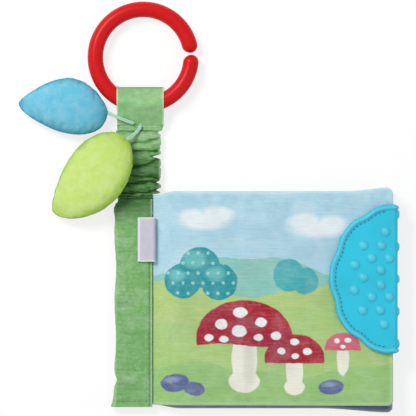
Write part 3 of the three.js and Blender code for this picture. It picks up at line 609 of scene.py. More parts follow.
class Picture:
    """Shapes painted one over the other on cloth that lies in X and Y, in millimetres."""

    def __init__(self, name, ground):
        self.finish = finish = Finish(name, sheen_weight=0.15, sheen_roughness=0.5, specular_ior_level=0.2)
        self.place = place = finish.place()
        wobble = finish.add("ShaderNodeTexNoise", {"Vector": place, "Scale": 0.22, "Detail": 3.0})["Color"]
        wobble = finish.vector("SUBTRACT", wobble, (0.5, 0.5, 0.5))
        shift = finish.vector("MULTIPLY", wobble, (1.3, 1.3, 0.0))
        self.x, self.y, _ = finish.axes(finish.vector("ADD", place, shift))
        self.wash = finish.noise(place, 11, 4, 0.62, 0.6)
        self.grain = finish.noise(place, 2.4, 3, 0.65)
        self.tint = ground

    def oval(self, x, y, wide, high, turn=0.0):
        """Distance inside an oval's edge, in millimetres and negative outside."""
        across, up = self.x - x, self.y - y
        if turn:
            cosine, sine = math.cos(math.radians(turn)), math.sin(math.radians(turn))
            across, up = across * cosine + up * sine, up * cosine - across * sine
        return (1 - ((across * (1 / wide)) ** 2 + (up * (1 / high)) ** 2).root()) * min(wide, high)

    def ovals(self, *shapes):
        """Distance inside the edge of several ovals as one shape."""
        return reduce(Wire.most, [self.oval(*shape) for shape in shapes])

    def under(self, level, *swells):
        """Distance below a wavy line: level plus sine swells of (height, length, phase)."""
        line = level
        for height, run, phase in swells:
            line = line + (self.x * (2 * math.pi / run) + phase).sine() * height
        return line - self.y

    def lay(self, share, ink):
        self.tint = self.finish.mix(share, self.tint, ink)

    def paint(self, shape, ink, soft=0.5, cover=1.0):
        """Lays ink inside a shape, unevenly as a wash, and gives the shape's mask."""
        mask = (shape * (1 / soft) + 0.5).clip()
        self.lay(mask * cover, self.finish.mix((self.wash - 0.42).clip() * 0.9, ink, paler(ink, 0.66)))
        return mask

    def dots(self, pitch, radius, ink, inside=1.0):
        """Round dots in staggered rows, inside a mask if one is given."""
        row = (self.y * (1 / pitch)).whole()
        across = (self.x * (1 / pitch) + row * 0.5).fraction() - 0.5
        up = (self.y * (1 / pitch)).fraction() - 0.5
        shape = radius - ((across**2 + up**2).root() * pitch)
        self.lay((shape * 2.0 + 0.5).clip() * inside, ink)

    def cloth(self, size, shade):
        """Threads with painted shade between them, paler rolled edges and painted shade in the folds, over
        the finished picture.
        """
        finish, chalk = self.finish, (0.93, 0.94, 0.9)
        x, y, _ = finish.axes(self.place)
        weave = finish.weave(x, y, size["page_weave"])
        rib = (y * (2 * math.pi / (size["page_weave"] * 2.4))).wave()
        streak = finish.noise(finish.vector("MULTIPLY", self.place, (0.1, 1.0, 1.0)), 0.9, 2, 0.6)
        # painted shade between the threads and in the ripples' dips; ribs, streaks and grain are the cloth's
        # own; paler along the rolled edges
        tint = finish.layers(
            self.tint, ((1 - weave) * 0.1 + rib * 0.06 + (streak - 0.5).clip() * 0.35, shade),
            ((0.5 - streak).clip() * 0.3, chalk), ((self.grain - 0.5).clip() * 0.2, chalk),
            (finish.tone("hollow") * 0.5, shade), (finish.tone("worn") * 0.25, (0.9, 0.92, 0.9)))
        height = weave * 0.5 + rib * 0.35 + self.grain * 0.3
        return finish.done(tint, 0.8 + self.grain * 0.15, height, 0.12, 0.7)


def landscape_finish(ink, size):
    """The front cover's print: sky with clouds, hills and meadows, toadstools, round bushes and stones."""
    picture = Picture("landscape_print", ink["sky"])
    paint, oval, ovals, under = picture.paint, picture.oval, picture.ovals, picture.under
    white = srgb(250, 251, 250)
    # the sky, deeper higher up, and its clouds
    picture.lay(((picture.y * (1 / 60) - 0.3) * (1 / 0.65)).clip() * 0.3, srgb(158, 207, 228))
    picture.lay((picture.wash - 0.45).clip() * 0.8, white)
    paint(ovals((-36, 40, 12, 4.4), (-29, 43, 8, 4.6), (-42, 42.5, 6.5, 3.4), (24, 36, 14, 4),
                (16, 39.5, 8, 4.4), (30, 39, 7, 3.4)), white, soft=2.6, cover=0.72)
    # hills, and bushes before them
    paint(under(17.0, (5.0, 118, 2.4), (1.6, 47, 0.4)), ink["mint"])
    paint(under(6.0, (5.2, 96, 5.0), (1.8, 41, 1.0)), ink["meadow"])
    bush = paint(ovals((-47, 9, 9.5, 9), (-38, 16, 10.5, 10.5), (-28, 8.5, 9.5, 9.5)), ink["teal"])
    lit = ovals((-41, 20, 6, 4.5), (-30, 12.5, 5, 3.6), (-50, 12, 4, 3))
    paint(lit, srgb(118, 205, 202), soft=2.0, cover=0.6)
    picture.dots(5.2, 0.85, srgb(150, 216, 212), bush)
    paint(ovals((8, 12, 8, 8.5), (16.5, 9, 7, 7)), srgb(70, 178, 180))
    # meadows and stones
    paint(under(-8.0, (4.6, 132, 1.2), (1.4, 52, 3.6)), ink["lawn"])
    paint(under(-37.0, (3.4, 104, 4.1), (1.2, 37, 2.0)), srgb(150, 199, 116), cover=0.85)
    paint(ovals((-51, -44, 7.5, 4.6, 6), (-41, -47, 5.6, 3.6, -8), (30, -46, 6.5, 3.9, 5)), ink["slate"])
    lit = ovals((-52.5, -42.4, 4.2, 1.6, 8), (28.6, -44.6, 3.4, 1.3, 5))
    paint(lit, srgb(150, 168, 200), soft=1.2, cover=0.7)
    # two red toadstools: stems, shade on the larger stem, caps and spots
    paint(ovals((-15, -31, 6.6, 17), (-15, -43, 8.0, 6), (11, -38, 4.4, 12), (11, -46, 5.4, 4)), ink["cream"])
    paint(oval(-12.5, -34, 3.0, 13), srgb(205, 205, 190), soft=2.4, cover=0.5)
    big_cap = oval(-15, -20.5, 25, 19.5).least(picture.y + 24.5 + ((picture.x + 15) * 0.125).sine() * 0.9)
    cap = paint(big_cap, ink["crimson"])
    paint(oval(11, -31, 15.5, 12.5).least(picture.y + 33.6), ink["crimson"])
    paint(ovals((-17, -7.4, 3.6, 2.7), (-27, -13.4, 3.2, 2.6), (-6.4, -12.4, 3.0, 2.5),
                (-17.6, -17.0, 3.9, 3.0), (-33.4, -20.4, 2.4, 1.9), (1.4, -19.4, 2.6, 2.1),
                (-25.6, -21.2, 2.5, 1.7), (-7.6, -20.4, 2.4, 1.8), (11, -22.6, 2.4, 1.9),
                (4.2, -27.4, 2.1, 1.7), (17.6, -27.6, 2.3, 1.8), (11.4, -29.8, 2.0, 1.5)), white)
    picture.lay(cap * (picture.grain - 0.52).clip() * 0.9, srgb(200, 50, 66))
    # the small pink toadstool
    paint(oval(36, -31, 3.2, 9), ink["cream"])
    paint(oval(36, -26, 9.5, 8.2).least(picture.y + 27.0), ink["pink"])
    paint(ovals((33, -22, 1.5, 1.2), (38.6, -21.6, 1.6, 1.3), (36.2, -25, 1.3, 0.9)), white)
    return picture.cloth(size, darker(ink["slate"], 0.45))


def plain_print_finish(name, ink, size, ground, band, level):
    """A simple print: a washed ground with white dots and a wavy band at the foot."""
    picture = Picture(name, ground)
    picture.lay((picture.wash - 0.42).clip() * 1.4, srgb(246, 250, 248))
    picture.dots(15.0, 2.6, srgb(248, 250, 249))
    picture.paint(picture.under(level, (2.2, 74, 1.0), (1.0, 31, 2.0)), band)
    return picture.cloth(size, darker(ink["slate"], 0.4))


# Pages


def head_edge(x):
    """Y of a page's head edge: lower beside the binding, higher at the fore edge, with a round corner."""
    return (PAGE_HEIGHT / 2 - 2.1 * (1 - ease(x, 12.0)) + 2.0 * ease(x - (PAGE_WIDTH - 24.0), 24.0)
            - corner_cut(x, 4.0))


def foot_edge(x, level):
    """Y of a page's foot edge: the lower pages show past the front cover, most at the fore edge."""
    sag = 1.8 + 2.2 * ease(x - (PAGE_WIDTH - 38.0), 38.0) if level < COVER_LEVEL else 0.0
    return -PAGE_HEIGHT / 2 - sag * ease(x, PAGE_RAMP) + corner_cut(x, 3.0)


def corner_cut(x, radius):
    """How far a round corner takes the edge in."""
    past = np.maximum(0, x - (PAGE_WIDTH - radius))
    return radius - np.sqrt(np.maximum(0, radius**2 - past**2))


def page_stations():
    """Grids of distances from the binding and of shares from foot to head, close at the page's edges."""
    edge = PAGE_WIDTH - 7.5 * np.linspace(1, 0, 15) ** 1.9
    x = np.concatenate([np.linspace(0, PAGE_RAMP, 13)[:-1], np.linspace(PAGE_RAMP, edge[0], 84)[:-1], edge])
    edge = 0.065 * np.linspace(0, 1, 14) ** 1.9
    shares = np.concatenate([edge, np.linspace(edge[-1], 1 - edge[-1], 78)[1:-1], 1 - edge[::-1]])
    return np.meshgrid(x, shares, indexing="ij")


def page_place(level, x, y, z):
    """From a page's own frame to the book's: the front cover is tilted up over the teether's back half."""
    tilt = COVER_TILT if level == COVER_LEVEL else 0.0
    return xyz(PAGE_START + x * math.cos(tilt) - z * math.sin(tilt), y,
               FIRST_PAGE_Z + level * PAGE_PITCH + x * math.sin(tilt) + z * math.cos(tilt))


def page_walls(level, side, ripple, seed):
    """The outer and inner grids of a panel, how much paler the outer one is along its rolled edges, and how
    much painted shade lies in its ripples. Its height over the page's middle is half the thickness, rolled
    off round the edges as a quarter circle, less soft ripples and puckers that draw in from the seam. The
    inner one leaves room for the film."""
    x, share = page_stations()
    foot, head = foot_edge(x, level), head_edge(x)
    y = foot + (head - foot) * share
    inside = np.minimum(np.minimum(PAGE_WIDTH - x, y - foot), head - y)
    rounded = soft_least(PAGE_WIDTH - x, y - foot, head - y)
    swollen = MARGIN_THICK + (PAGE_THICK - MARGIN_THICK) * ease(x, PAGE_RAMP)
    edge = np.minimum(PAGE_EDGE, swollen)
    half = (edge + (swollen - edge) * quarter_round(rounded, PAGE_ROLL)) / 2
    # the rolled edge rounds in to the seam over its last half millimetre
    half = half * (0.3 + 0.7 * quarter_round(inside, 0.55))
    flat = xyz(x, y, 40.0 * level)
    swell = ripples(flat, (34, 30, 50), seed) * 0.55 + ripples(flat, (13, 12, 50), seed + 1) * 0.3
    pucker = ripples(flat, (6.5, 6.5, 50), seed + 2) * np.exp(-rounded / 7.0)
    drawn = ripple * (0.5 + 0.5 * np.tanh(1.2 * (swell + 0.9 * pucker)))
    drawn = drawn * np.clip(inside / 3.0, 0, 1) * ease(x, PAGE_RAMP)
    opened = ease(np.minimum(inside, x - FILM_INSET), FILM_INSET / 2)
    middle = level * (swollen - MARGIN_THICK)
    walls = [page_place(level, x, y, middle + side * depth)
             for depth in (half - drawn, 0.04 + 0.46 * opened)]
    return walls, 1 - np.clip(rounded / 2.2, 0, 1), drawn / max(ripple, WELD)


class CLOTHBOOK_OT_pages(bpy.types.Operator):
    """Make the six padded and printed panels of the three pages"""
    bl_idname = "clothbook.pages"
    bl_label = "Pages"

    def execute(self, context):
        size, ink = chosen()
        prints = {
            "landscape": landscape_finish(ink, size),
            "shore": plain_print_finish("shore_print", ink, size, ink["mint"], srgb(88, 108, 134), -49.0),
            "field": plain_print_finish("field_print", ink, size, ink["meadow"], ink["teal"], -38.0),
            "cloud": plain_print_finish("cloud_print", ink, size, ink["sky"], ink["lawn"], -34.0),
        }
        for number, (node, print_name) in enumerate(PANELS):
            level, upper = divmod(number, 2)
            depth = size["page_ripple"] * (1.0 if print_name == "landscape" else 0.6)
            walls, worn, hollow = page_walls(level, (-1, 1)[upper], depth, 40 + 7 * number)
            panel = make(f"printed_{node}", shell(*walls), prints[print_name],
                         {"worn": both(worn), "hollow": both(hollow**2 * 0.3)})
            place_piece(panel, PAGE_BODIES[level], "page_cloth", node)
        return {"FINISHED"}


class CLOTHBOOK_OT_gutters(bpy.types.Operator):
    """Make the cloth that joins the pages at the binding's edge"""
    bl_idname = "clothbook.gutters"
    bl_label = "Gutters"

    def execute(self, context):
        size, ink = chosen()
        finish = cotton_finish("gutter_cotton", ink, size)
        y = np.linspace(foot_edge(0.0, COVER_LEVEL) + 0.3, head_edge(0.0) - 0.3, 40)[:, None]
        share = np.linspace(0, 1, 15)
        middle = FIRST_PAGE_Z + PAGE_PITCH
        x = PAGE_START - CLOTH_GAP + 0.02 + (CLOTH_GAP - 0.04) * share
        z = middle + MARGIN_THICK / 2 + 0.02 + (PAGE_PITCH - MARGIN_THICK - 0.04) * share
        strips = [  # across the gap beside the sewn margins, and up from the middle leaf to the front cover
            ("leaf_gutter", [xyz(x, y, middle + half) for half in (0.4, -0.4)], "book", "middle_leaf",
             (x[0], 0, middle), (x[-1], 0, middle)),
            ("cover_gutter", [xyz(PAGE_START + reach, y, z) for reach in (0.1, 1.0)], "middle_leaf",
             "front_cover", (0, 0, z[0]), (0, 0, z[-1])),
        ]
        for name, walls, lower, upper, start, end in strips:
            strip = place_piece(make(name, shell(*walls), finish), None, "page_cloth")
            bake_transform(strip)
        return {"FINISHED"}


# Teether


def teether_edge(angle, inset):
    """A point of the scalloped outline: an ellipse drawn in by a bell-shaped dip at equal angles."""
    turn, first = math.radians(39.7), math.radians(22.8)
    nearest = first + turn * np.round((angle - first) / turn)
    dip = 1.3 * bell(angle - nearest, turn / 5)
    return (TEETHER_REACH - inset - dip) * np.cos(angle), (TEETHER_HEIGHT / 2 - inset - dip) * np.sin(angle)


def teether_fold(run, y, rise):
    """Carries a flat sheet round the fold and on to the cover: run is the distance from the fold's middle
    line along the sheet's middle surface, and rise the height over that surface, outwards."""
    turn = np.clip(run / TEETHER_MIDDLE, -math.pi / 2, math.pi / 2)
    straight = np.abs(run) - np.abs(turn) * TEETHER_MIDDLE
    x = TEETHER_NOSE - straight + (TEETHER_MIDDLE / 2 + rise) * np.cos(turn)
    z = (TEETHER_MIDDLE + rise) * np.sin(turn)
    return page_place(COVER_LEVEL, x, y + TEETHER_OFFSET, z + COVER_LEVEL * (PAGE_THICK - MARGIN_THICK))


def teether_distance(run, y, reach, half):
    """Distance to the outline in the flat sheet, whose two halves lie past the fold's arc."""
    ends = xyz(np.linspace(0, TEETHER_ARC, 60), half[0], 0)[:, :2]
    outline = np.concatenate([np.stack([reach + TEETHER_ARC, half], -1), ends, ends * (1, -1)])
    points = np.stack([np.abs(run), y], -1).reshape(-1, 1, 2)
    parts = [np.sqrt(((part - outline[None]) ** 2).sum(-1)).min(1) for part in np.array_split(points, 12)]
    distance = np.concatenate(parts).reshape(run.shape)
    distance[[0, -1]] = 0
    distance[:, [0, -1]] = 0
    return distance


class CLOTHBOOK_OT_teether(bpy.types.Operator):
    """Make the soft teether with its rim, domes, beads and stitches"""
    bl_idname = "clothbook.teether"
    bl_label = "Teether"

    def execute(self, context):
        size, ink = chosen()
        overhang, rim, plate = 0.25, 1.45, TEETHER_PLATE / 2
        crown = TEETHER_OUTER + 0.75 - rim - TEETHER_MIDDLE
        reach, height = teether_edge(np.linspace(math.pi / 2, -math.pi / 2, 180), -overhang)
        shares = np.linspace(0, 1, 78)
        shares = 1 - (0.8 * (1 - shares) + 0.2 * (1 - shares) ** 3)[::-1]
        shares = (shares - shares[0]) / (shares[-1] - shares[0])
        run = np.concatenate([-shares[:0:-1], shares]) * (TEETHER_ARC + reach[:, None])
        # the outline's corners round off where it runs over the fold
        y = height[:, None] * (1 - 0.06 * np.clip(1 - np.abs(run) / TEETHER_ARC, 0, 1) ** 2)
        distance = teether_distance(
            run, y, *teether_edge(np.linspace(math.pi / 2, -math.pi / 2, 900), -overhang))
        # the rim's round top, the plate inside it, and the lower edge rounded in to the slot
        swell = crown + np.sqrt(np.clip(rim**2 - (distance - rim) ** 2, 0, None))
        outer = smooth_max(np.where(distance < 2 * rim, swell, -5), plate, 0.35)
        outer = np.where(distance < rim, swell, outer)
        inner = -plate + (crown + plate) * (1 - quarter_round(distance, 0.9))
        domes, foot = np.zeros_like(run), np.zeros_like(run)
        for reach_share, height_share in DOMES:
            away = np.hypot(np.abs(run) - TEETHER_ARC - reach_share * TEETHER_REACH,
                            y - height_share * TEETHER_HEIGHT / 2) / size["dome_radius"]
            domes = np.maximum(domes, size["dome_height"] * np.clip(1 - away**2, 0, 1) ** 0.55)
            foot = np.maximum(foot, bell(away - 1.08, 0.13))
        # beads along the fore edge
        last = TEETHER_HEIGHT / 2 - 5.0
        for middle in np.linspace(-last, last, 5):
            away = np.hypot(run / 1.9, (y - middle) / 2.2)
            domes = np.maximum(domes, 1.05 * np.clip(1 - away**2, 0, 1) ** 0.5)
        # painted shade in the groove inside the rim, round the feet of the domes and at the outline; painted
        # highlight on the domes and the top of the rim
        hollow = np.maximum(bell(distance - 2 * rim, 0.6) * 0.7, foot * 0.6)
        hollow = np.maximum(hollow, 0.6 * np.exp(-distance / 0.5))
        worn = np.maximum(np.clip(domes / size["dome_height"], 0, 1), bell(distance - 1.1 * rim, 0.8))
        form = shell(teether_fold(run, y, outer + domes), teether_fold(run, y, inner))
        teether = make("soft_teether", form, self.finish(ink["teether"]),
                       {"hollow": both(hollow), "worn": both(worn)}, crisp=75)
        place_piece(teether, "front_cover", "silicone", "teether")
        # tonal stitches inside the rim, on both faces
        reach, height = teether_edge(np.linspace(1.43, -1.43, 200), 3.15)
        rows = [(teether_fold(side * (TEETHER_ARC + reach), height, plate), (0, 0, side)) for side in (1, -1)]
        sew("teether_stitches", rows, dict(size, stitch_length=1.35, stitch_gap=0.85, thread_width=0.55),
            thread_finish("teal_thread", srgb(16, 124, 158)), "front_cover", "silicone", sunk=0.05)
        return {"FINISHED"}

    @staticmethod
    def finish(base):
        """Matt silicone: painted highlight on its raised domes and rim, painted shade in its grooves and at
        its edge, with a fine moulded grain.
        """
        finish = Finish("soft_silicone", roughness=0.4, specular_ior_level=0.5, subsurface_weight=0.12,
                        subsurface_scale=0.002, subsurface_radius=(0.5, 1.0, 1.0), ior=1.41)
        place = finish.place()
        cloud = finish.noise(place, 16, 2, 0.5)
        grain = finish.noise(place, 0.35, 2, 0.6)
        dark = darker(base, 0.62)
        tint = finish.layers(base, ((cloud - 0.45) * 0.7, dark), (finish.tone("hollow") * 0.6, dark),
                             (finish.tone("worn") * 0.22, paler(base, 0.7)))
        return finish.done(tint, 0.36 + grain * 0.12 + cloud * 0.06, grain, 0.03, 0.35)


# Binding and label


def binding_left(y):
    """X of the folded edge: scalloped, spread at the foot, drawn in above it and swollen below the top."""
    flare = 2.8 * np.exp(-(y - BINDING_FOOT) / 7.0) + 1.1 * bell(y - BINDING_TOP + 4.5, 4.0)
    flare -= 1.5 * bell(y - BINDING_FOOT - 14.2, 2.8)
    share = (y - BINDING_FOOT) / (BINDING_TOP - BINDING_FOOT)
    return BINDING_LEFT - flare + 0.45 * np.cos(6 * np.pi * share)


def binding_wall(y, inset):
    """Rows of the U section: along the top face, round the folded edge and back along the underside."""
    radius = BINDING_THICK / 2
    middle = binding_left(y)[:, None] + radius
    turn = np.linspace(math.pi / 2, 3 * math.pi / 2, 44)[1:-1]
    flat = BINDING_EDGE + (middle - BINDING_EDGE) * (np.linspace(0, 1, 60)[None] ** 0.9)
    x = np.concatenate([flat, middle + (radius - inset) * np.cos(turn), flat[:, ::-1]], 1)
    z = np.concatenate([np.full(60, BINDING_THICK - inset), radius + (radius - inset) * np.sin(turn),
                        np.full(60, inset)])
    return xyz(x, y[:, None], z)


class CLOTHBOOK_OT_binding(bpy.types.Operator):
    """Make the puckered cotton binding and its stitches"""
    bl_idname = "clothbook.binding"
    bl_label = "Binding"

    def execute(self, context):
        size, ink = chosen()
        y = np.linspace(BINDING_FOOT, BINDING_TOP, 260)
        outer, inner = binding_wall(y, 0.0), binding_wall(y, BINDING_WALL)
        x, rows, z = np.moveaxis(outer, -1, 0)
        share = np.clip((BINDING_EDGE - x) / BINDING_WIDTH, 0, 1)
        # puckers run across the strip: short along the spine and long across it, strongest at the two seams
        fine = ripples(outer, (26, 2.6, 30), 5) * 0.6 + ripples(outer, (12, 1.5, 30), 6) * 0.4
        depth = size["binding_pucker"] * (0.55 + 0.75 * share)
        swell = depth * (fine + 0.8 * ripples(outer, (40, 9.0, 30), 7))
        label_zone = ease(rows - 14, 5) * (1 - ease(rows - 46, 5)) * (1 - ease(share - 0.4, 0.3))
        swell = np.clip(swell - 0.6 * depth, -0.42, 0.12 - 0.1 * label_zone)
        # the seams beside the pages and across the foot draw the cloth down along their stitches
        radius = BINDING_THICK / 2
        swell -= (0.22 * bell(x - SEAM_X, 0.55)) * (z > radius)
        swell -= (0.14 * bell(rows - FOOT_SEAM_Y, 0.6)) * (z > radius)
        middle = binding_left(rows) + radius
        outward = xyz(0.4 * np.minimum(x - middle, 0) / radius, 0,
                      np.where(x < middle, (z - radius) / radius, np.sign(z - radius)))
        swell = np.where(z < radius * 0.6, np.minimum(swell, 0.0), swell)
        # painted shade in the puckers' dips and along the seam below its stitches, and darker towards the top
        hollow = np.clip(-swell / 0.45, 0, 1) * 0.18 + 0.75 * (1 - ease(BINDING_TOP - rows, 19.0))
        hollow = np.maximum(hollow, bell(x - SEAM_X + 0.2, 0.55) * (0.4 + 0.2 * np.cos(rows * 2.37)))
        # painted highlight along the folded left edge and along the right edge beside the seam
        worn = 0.7 * bell(x - BINDING_LEFT + 0.3, 0.9) + 1.0 * bell(x - BINDING_EDGE + 0.2, 0.6)
        # the top corner at the fold is rounded off
        droop = xyz(0, 2.4 * ease(rows - BINDING_TOP + 6.0, 6.0) * (1 - ease(x - BINDING_LEFT, 3.2)), 0)
        strip = make("binding_strip", shell(outer + outward * swell[..., None] - droop, inner - droop),
                     cotton_finish("binding_cotton", ink, size, 0.8, ribs=0.7),
                     {"hollow": both(hollow, 0.5), "worn": both(worn)})
        place_piece(strip, "book", "green_cotton", "spine_binding")
        # seams: along the pages, doubled at the foot, and across the foot
        lines = [
            ((SEAM_X, BINDING_FOOT + 1.4), (SEAM_X, BINDING_TOP - 0.8)),
            ((SEAM_X - 1.75, BINDING_FOOT + 2.4), (SEAM_X - 1.7, BINDING_FOOT + 17)),
            ((BINDING_LEFT - 0.2, FOOT_SEAM_Y), (SEAM_X - 0.6, FOOT_SEAM_Y - 0.2)),
        ]
        share, rows = np.linspace(0, 1, 200), []
        for (start_x, start_y), (end_x, end_y) in lines:
            y = start_y + (end_y - start_y) * share
            x = start_x + (end_x - start_x) * share + 0.12 * np.sin(y * 0.35)
            rows.append((xyz(x, y, BINDING_THICK - 0.12), (0, 0, 1)))
        sew("binding_stitches", rows, size, thread_finish("green_thread", srgb(108, 160, 90)), "book",
            "green_cotton")
        return {"FINISHED"}


class CLOTHBOOK_OT_label(bpy.types.Operator):
    """Make the bare woven label that bends round at the binding's edge"""
    bl_idname = "clothbook.label"
    bl_label = "Label"

    def execute(self, context):
        size, ink = chosen()
        bend, thick, slope = 1.5, 0.5, 2.2
        tail = BINDING_EDGE + 2 * CLOTH_GAP + bend - LABEL_REACH - HINGE_X
        middle = bend - thick / 2
        turn = np.linspace(-math.pi / 2, math.pi / 2, 26)
        share = np.linspace(0, 1, 40)[1:]
        # middle line: round the hinge from below, then down over the binding with a slight sag
        down = middle - slope * share - 0.28 * np.sin(np.pi * share)
        line = np.stack([np.concatenate([middle * np.cos(turn), tail * share]),
                         np.concatenate([middle * np.sin(turn), down])], -1)
        outward = unit(np.gradient(line, axis=0))[:, ::-1] * (1, -1)
        # cut ends: a few threads stand out by fractions of a millimetre
        random = np.random.default_rng(31)
        run, along = np.linspace(0, 1, len(line)), np.linspace(0, 1, 56)[:, None]
        fray, fray_foot = (np.interp(run * 60, np.arange(61), random.uniform(0, 0.5, 61)) for _ in range(2))
        y = (LABEL_TOP - fray) * along + (LABEL_TOP - LABEL_HEIGHT + fray_foot) * (1 - along)
        curl = 0.16 * (2 * along - 1) ** 2 * ease(run - 0.5, 0.5)
        walls = []
        for side in (1, -1):
            x, z = (line + side * outward * (thick / 2 - 0.02)).T
            walls.append(xyz(HINGE_X + x, y, HINGE_Z + z + curl))
        worn = np.broadcast_to(np.exp(-np.minimum(along, 1 - along) / 0.02), y.shape)
        label = make("woven_label", shell(*walls), self.finish(ink["label"], tail),
                     {"worn": both(worn, worn)})
        place_piece(label, "tag", "label_cloth", "label")
        return {"FINISHED"}

    @staticmethod
    def finish(base, tail):
        """Woven satin with painted shade between its threads, paler at its cut ends and along its free edge.
        """
        finish = Finish("woven_label", sheen_weight=0.3, specular_ior_level=0.3)
        place = finish.rest()
        x, y, _ = finish.axes(place)
        weave = finish.weave(x, y, 0.55)
        pale = paler(base, 0.55)
        tint = finish.layers(
            base, (finish.noise(place, 3.2) * 0.6, pale), ((1 - weave) * 0.6, darker(base, 0.55)),
            (((x - HINGE_X - (tail + 1.6)) * -2.0).clip() * 0.7, pale),
            (finish.tone("worn") * 0.8, srgb(246, 246, 250)))
        return finish.done(tint, 0.62 + weave * 0.2, weave, 0.12, 0.8)


# Strap


def gather(y, across):
    """Which crease a place lies past, with the share to the next. A crease runs across the strap as a
    parabola through its three heights, wanders a little, and winds up round each curl of spare cloth."""
    x = across * SLEEVE_WIDTH / 2
    y = y + 0.25 * np.sin(across * 4.5 + y * 1.7) + 0.15 * np.sin(across * 9 + y)
    for curl_x, curl_y, reach in CURLS:
        right, up = x - (curl_x - SLEEVE_X), y - curl_y
        wind = 2.2 * np.exp(-(right**2 + up**2) / reach**2)
        x = curl_x - SLEEVE_X + right * np.cos(wind) - up * np.sin(wind)
        y = curl_y + right * np.sin(wind) + up * np.cos(wind)
    across = np.clip(2 * x / SLEEVE_WIDTH, -1, 1)
    left, middle, right = CREASES.T[..., None, None]
    heights = middle + across * (right - left) / 2 + across**2 * ((left + right) / 2 - middle)
    order = np.clip((y > heights).sum(0) - 1, 0, len(CREASES) - 2)
    below, above = (np.take_along_axis(heights, order[None] + step, 0)[0] for step in (0, 1))
    return order + np.clip((y - below) / (above - below), 0, 1)


def notched(y, notches):
    """How far the notches draw an edge of the strap in: a sum of bell curves along it."""
    return sum(depth * bell(y - height, half) for height, depth, half in notches)


def sleeve_rows(y, size, limit=np.inf, seed=71):
    """Loops round the gathered sleeve, and the painted shade on each place: a soft oblong section that draws
    in at each crease, swells between two creases, and carries fine wrinkles that fan out from them."""
    angle = circle(128)
    rows, across, up = np.broadcast_arrays(
        y[:, None], signed_power(np.cos(angle), 0.62), signed_power(np.sin(angle), 0.72))
    turns = gather(rows, across)
    full = np.abs(np.sin(np.pi * turns)) ** 0.55
    random = np.random.default_rng(seed)
    puff = random.uniform(0.72, 1.0, len(CREASES) + 1)[np.floor(turns).astype(int)]
    pull = random.uniform(0.65, 1.0, len(CREASES) + 1)[np.round(turns).astype(int)]
    flat = xyz(across * 11.0, rows, up * 3.0 + 9 * (up < 0))
    wrinkle = ripples(flat, (5.5, 1.5, 6), seed + 1) * 0.6 + ripples(flat, (2.6, 3.4, 6), seed + 2) * 0.5
    draw = (1 - full) * pull
    notch = np.where(across > 0, notched(rows, RIGHT_NOTCHES), notched(rows, LEFT_NOTCHES))
    half = SLEEVE_WIDTH / 2 + 0.3 - 0.85 * draw - 0.2 * (1 - puff) - notch
    deep = size["crease_depth"] * draw * (0.75 + 0.25 * np.cos(across * 5 + rows))
    height = SLEEVE_THICK / 2 - deep - 0.5 * (1 - puff) - size["wrinkle_depth"] * 0.5
    height = height + size["wrinkle_depth"] * 0.5 * np.clip(wrinkle, -1.6, 1)
    height = np.where(up > 0, height, SLEEVE_THICK / 2 - (SLEEVE_THICK / 2 - height) * 0.5)
    x = np.minimum(SLEEVE_X + across * (half + 0.12 * np.clip(wrinkle, -1, 1)), limit)
    z = CLOTH_GAP + SLEEVE_THICK / 2 + up * np.minimum(height, SLEEVE_THICK / 2)
    # painted shade in the creases and wrinkles, and painted shadow over the lower part of the sleeve
    hollow = 0.95 * draw**1.3 + 0.35 * np.clip(-wrinkle, 0, 1) * (1 - 0.4 * full)
    return xyz(x, rows, z), np.clip(hollow + 0.6 * ease(80 - rows, 13), 0, 1)


class CLOTHBOOK_OT_strap(bpy.types.Operator):
    """Make the gathered sleeve, in two lengths, that holds the elastic band"""
    bl_idname = "clothbook.strap"
    bl_label = "Gathered sleeve"

    def execute(self, context):
        size, ink = chosen()
        finish = cotton_finish("gathered_cotton", ink, size, 0.8)
        # lower length: a flat end sewn into the binding, then the first gathers clear of the page, the bend
        y = np.concatenate([np.linspace(BINDING_TOP - 7, BINDING_TOP - 0.4, 14),
                            np.linspace(BINDING_TOP, STRAP_SPLIT, 110)])
        limit = BINDING_EDGE + 0.25 + 7.0 * ease(y - head_edge(0.0) - 0.4, 0.8)
        rows, hollow = sleeve_rows(y, size, limit[:, None])
        angle = circle(rows.shape[1])
        sewn = xyz(BINDING_EDGE - 8.85 + 9.1 * signed_power(np.cos(angle), 0.4), y[:, None],
                   2.7 + 1.75 * signed_power(np.sin(angle), 0.4))
        share = ease(y - (BINDING_TOP + 0.1), 1.2)[:, None, None]
        # painted shade where the strap goes into the binding
        hollow = np.maximum(hollow, 0.9 * np.exp(-np.clip(y - BINDING_TOP, 0, None) / 0.8)[:, None])
        self.sleeve("gathered_tail", sewn * (1 - share) + rows * share, hollow, finish, "strap_tail",
                    STRAP_SPLIT - BINDING_TOP + 7, "spine_binding", ("book", "strap"),
                    (55.6, STRAP_SPLIT - 1.2))
        # upper length, over the elastic band
        rows, hollow = sleeve_rows(np.linspace(STRAP_SPLIT, SLEEVE_TOP + 1.2 * CLOTH_GAP, 210), size)
        self.sleeve("gathered_sleeve_cloth", rows, hollow, finish, "gathered_sleeve",
                    1.15 * (SLEEVE_TOP - STRAP_SPLIT), "elastic_band", ("strap", "strap_end"),
                    (STRAP_SPLIT + 1.3, SLEEVE_TOP - 0.8))
        return {"FINISHED"}

    @staticmethod
    def sleeve(name, rows, hollow, finish, node, drawn_out, under, bodies, ends):
        """A length of the sleeve, with painted highlight on its swells and along its two edges."""
        # painted highlight on the swells between the creases, more near the top, and strongest on the lips of
        # the two edges, where the painted shade is less
        worn = np.clip(1 - 2.4 * hollow, 0, 1) * (0.35 + 0.5 * ease(rows[..., 1] - 78, 6))
        side = np.abs(rows[..., 0] - SLEEVE_X)
        lip = ease(side / (side.max(1, keepdims=True) + WELD) - 0.88, 0.08)
        tones = {"hollow": capped(hollow * (1 - 0.45 * lip), 0.6),
                 "worn": capped(np.maximum(worn, 0.9 * lip))}
        piece = place_piece(make(name, tube(rows), finish, tones, crisp=80), None, "green_cotton", node)
        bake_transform(piece)


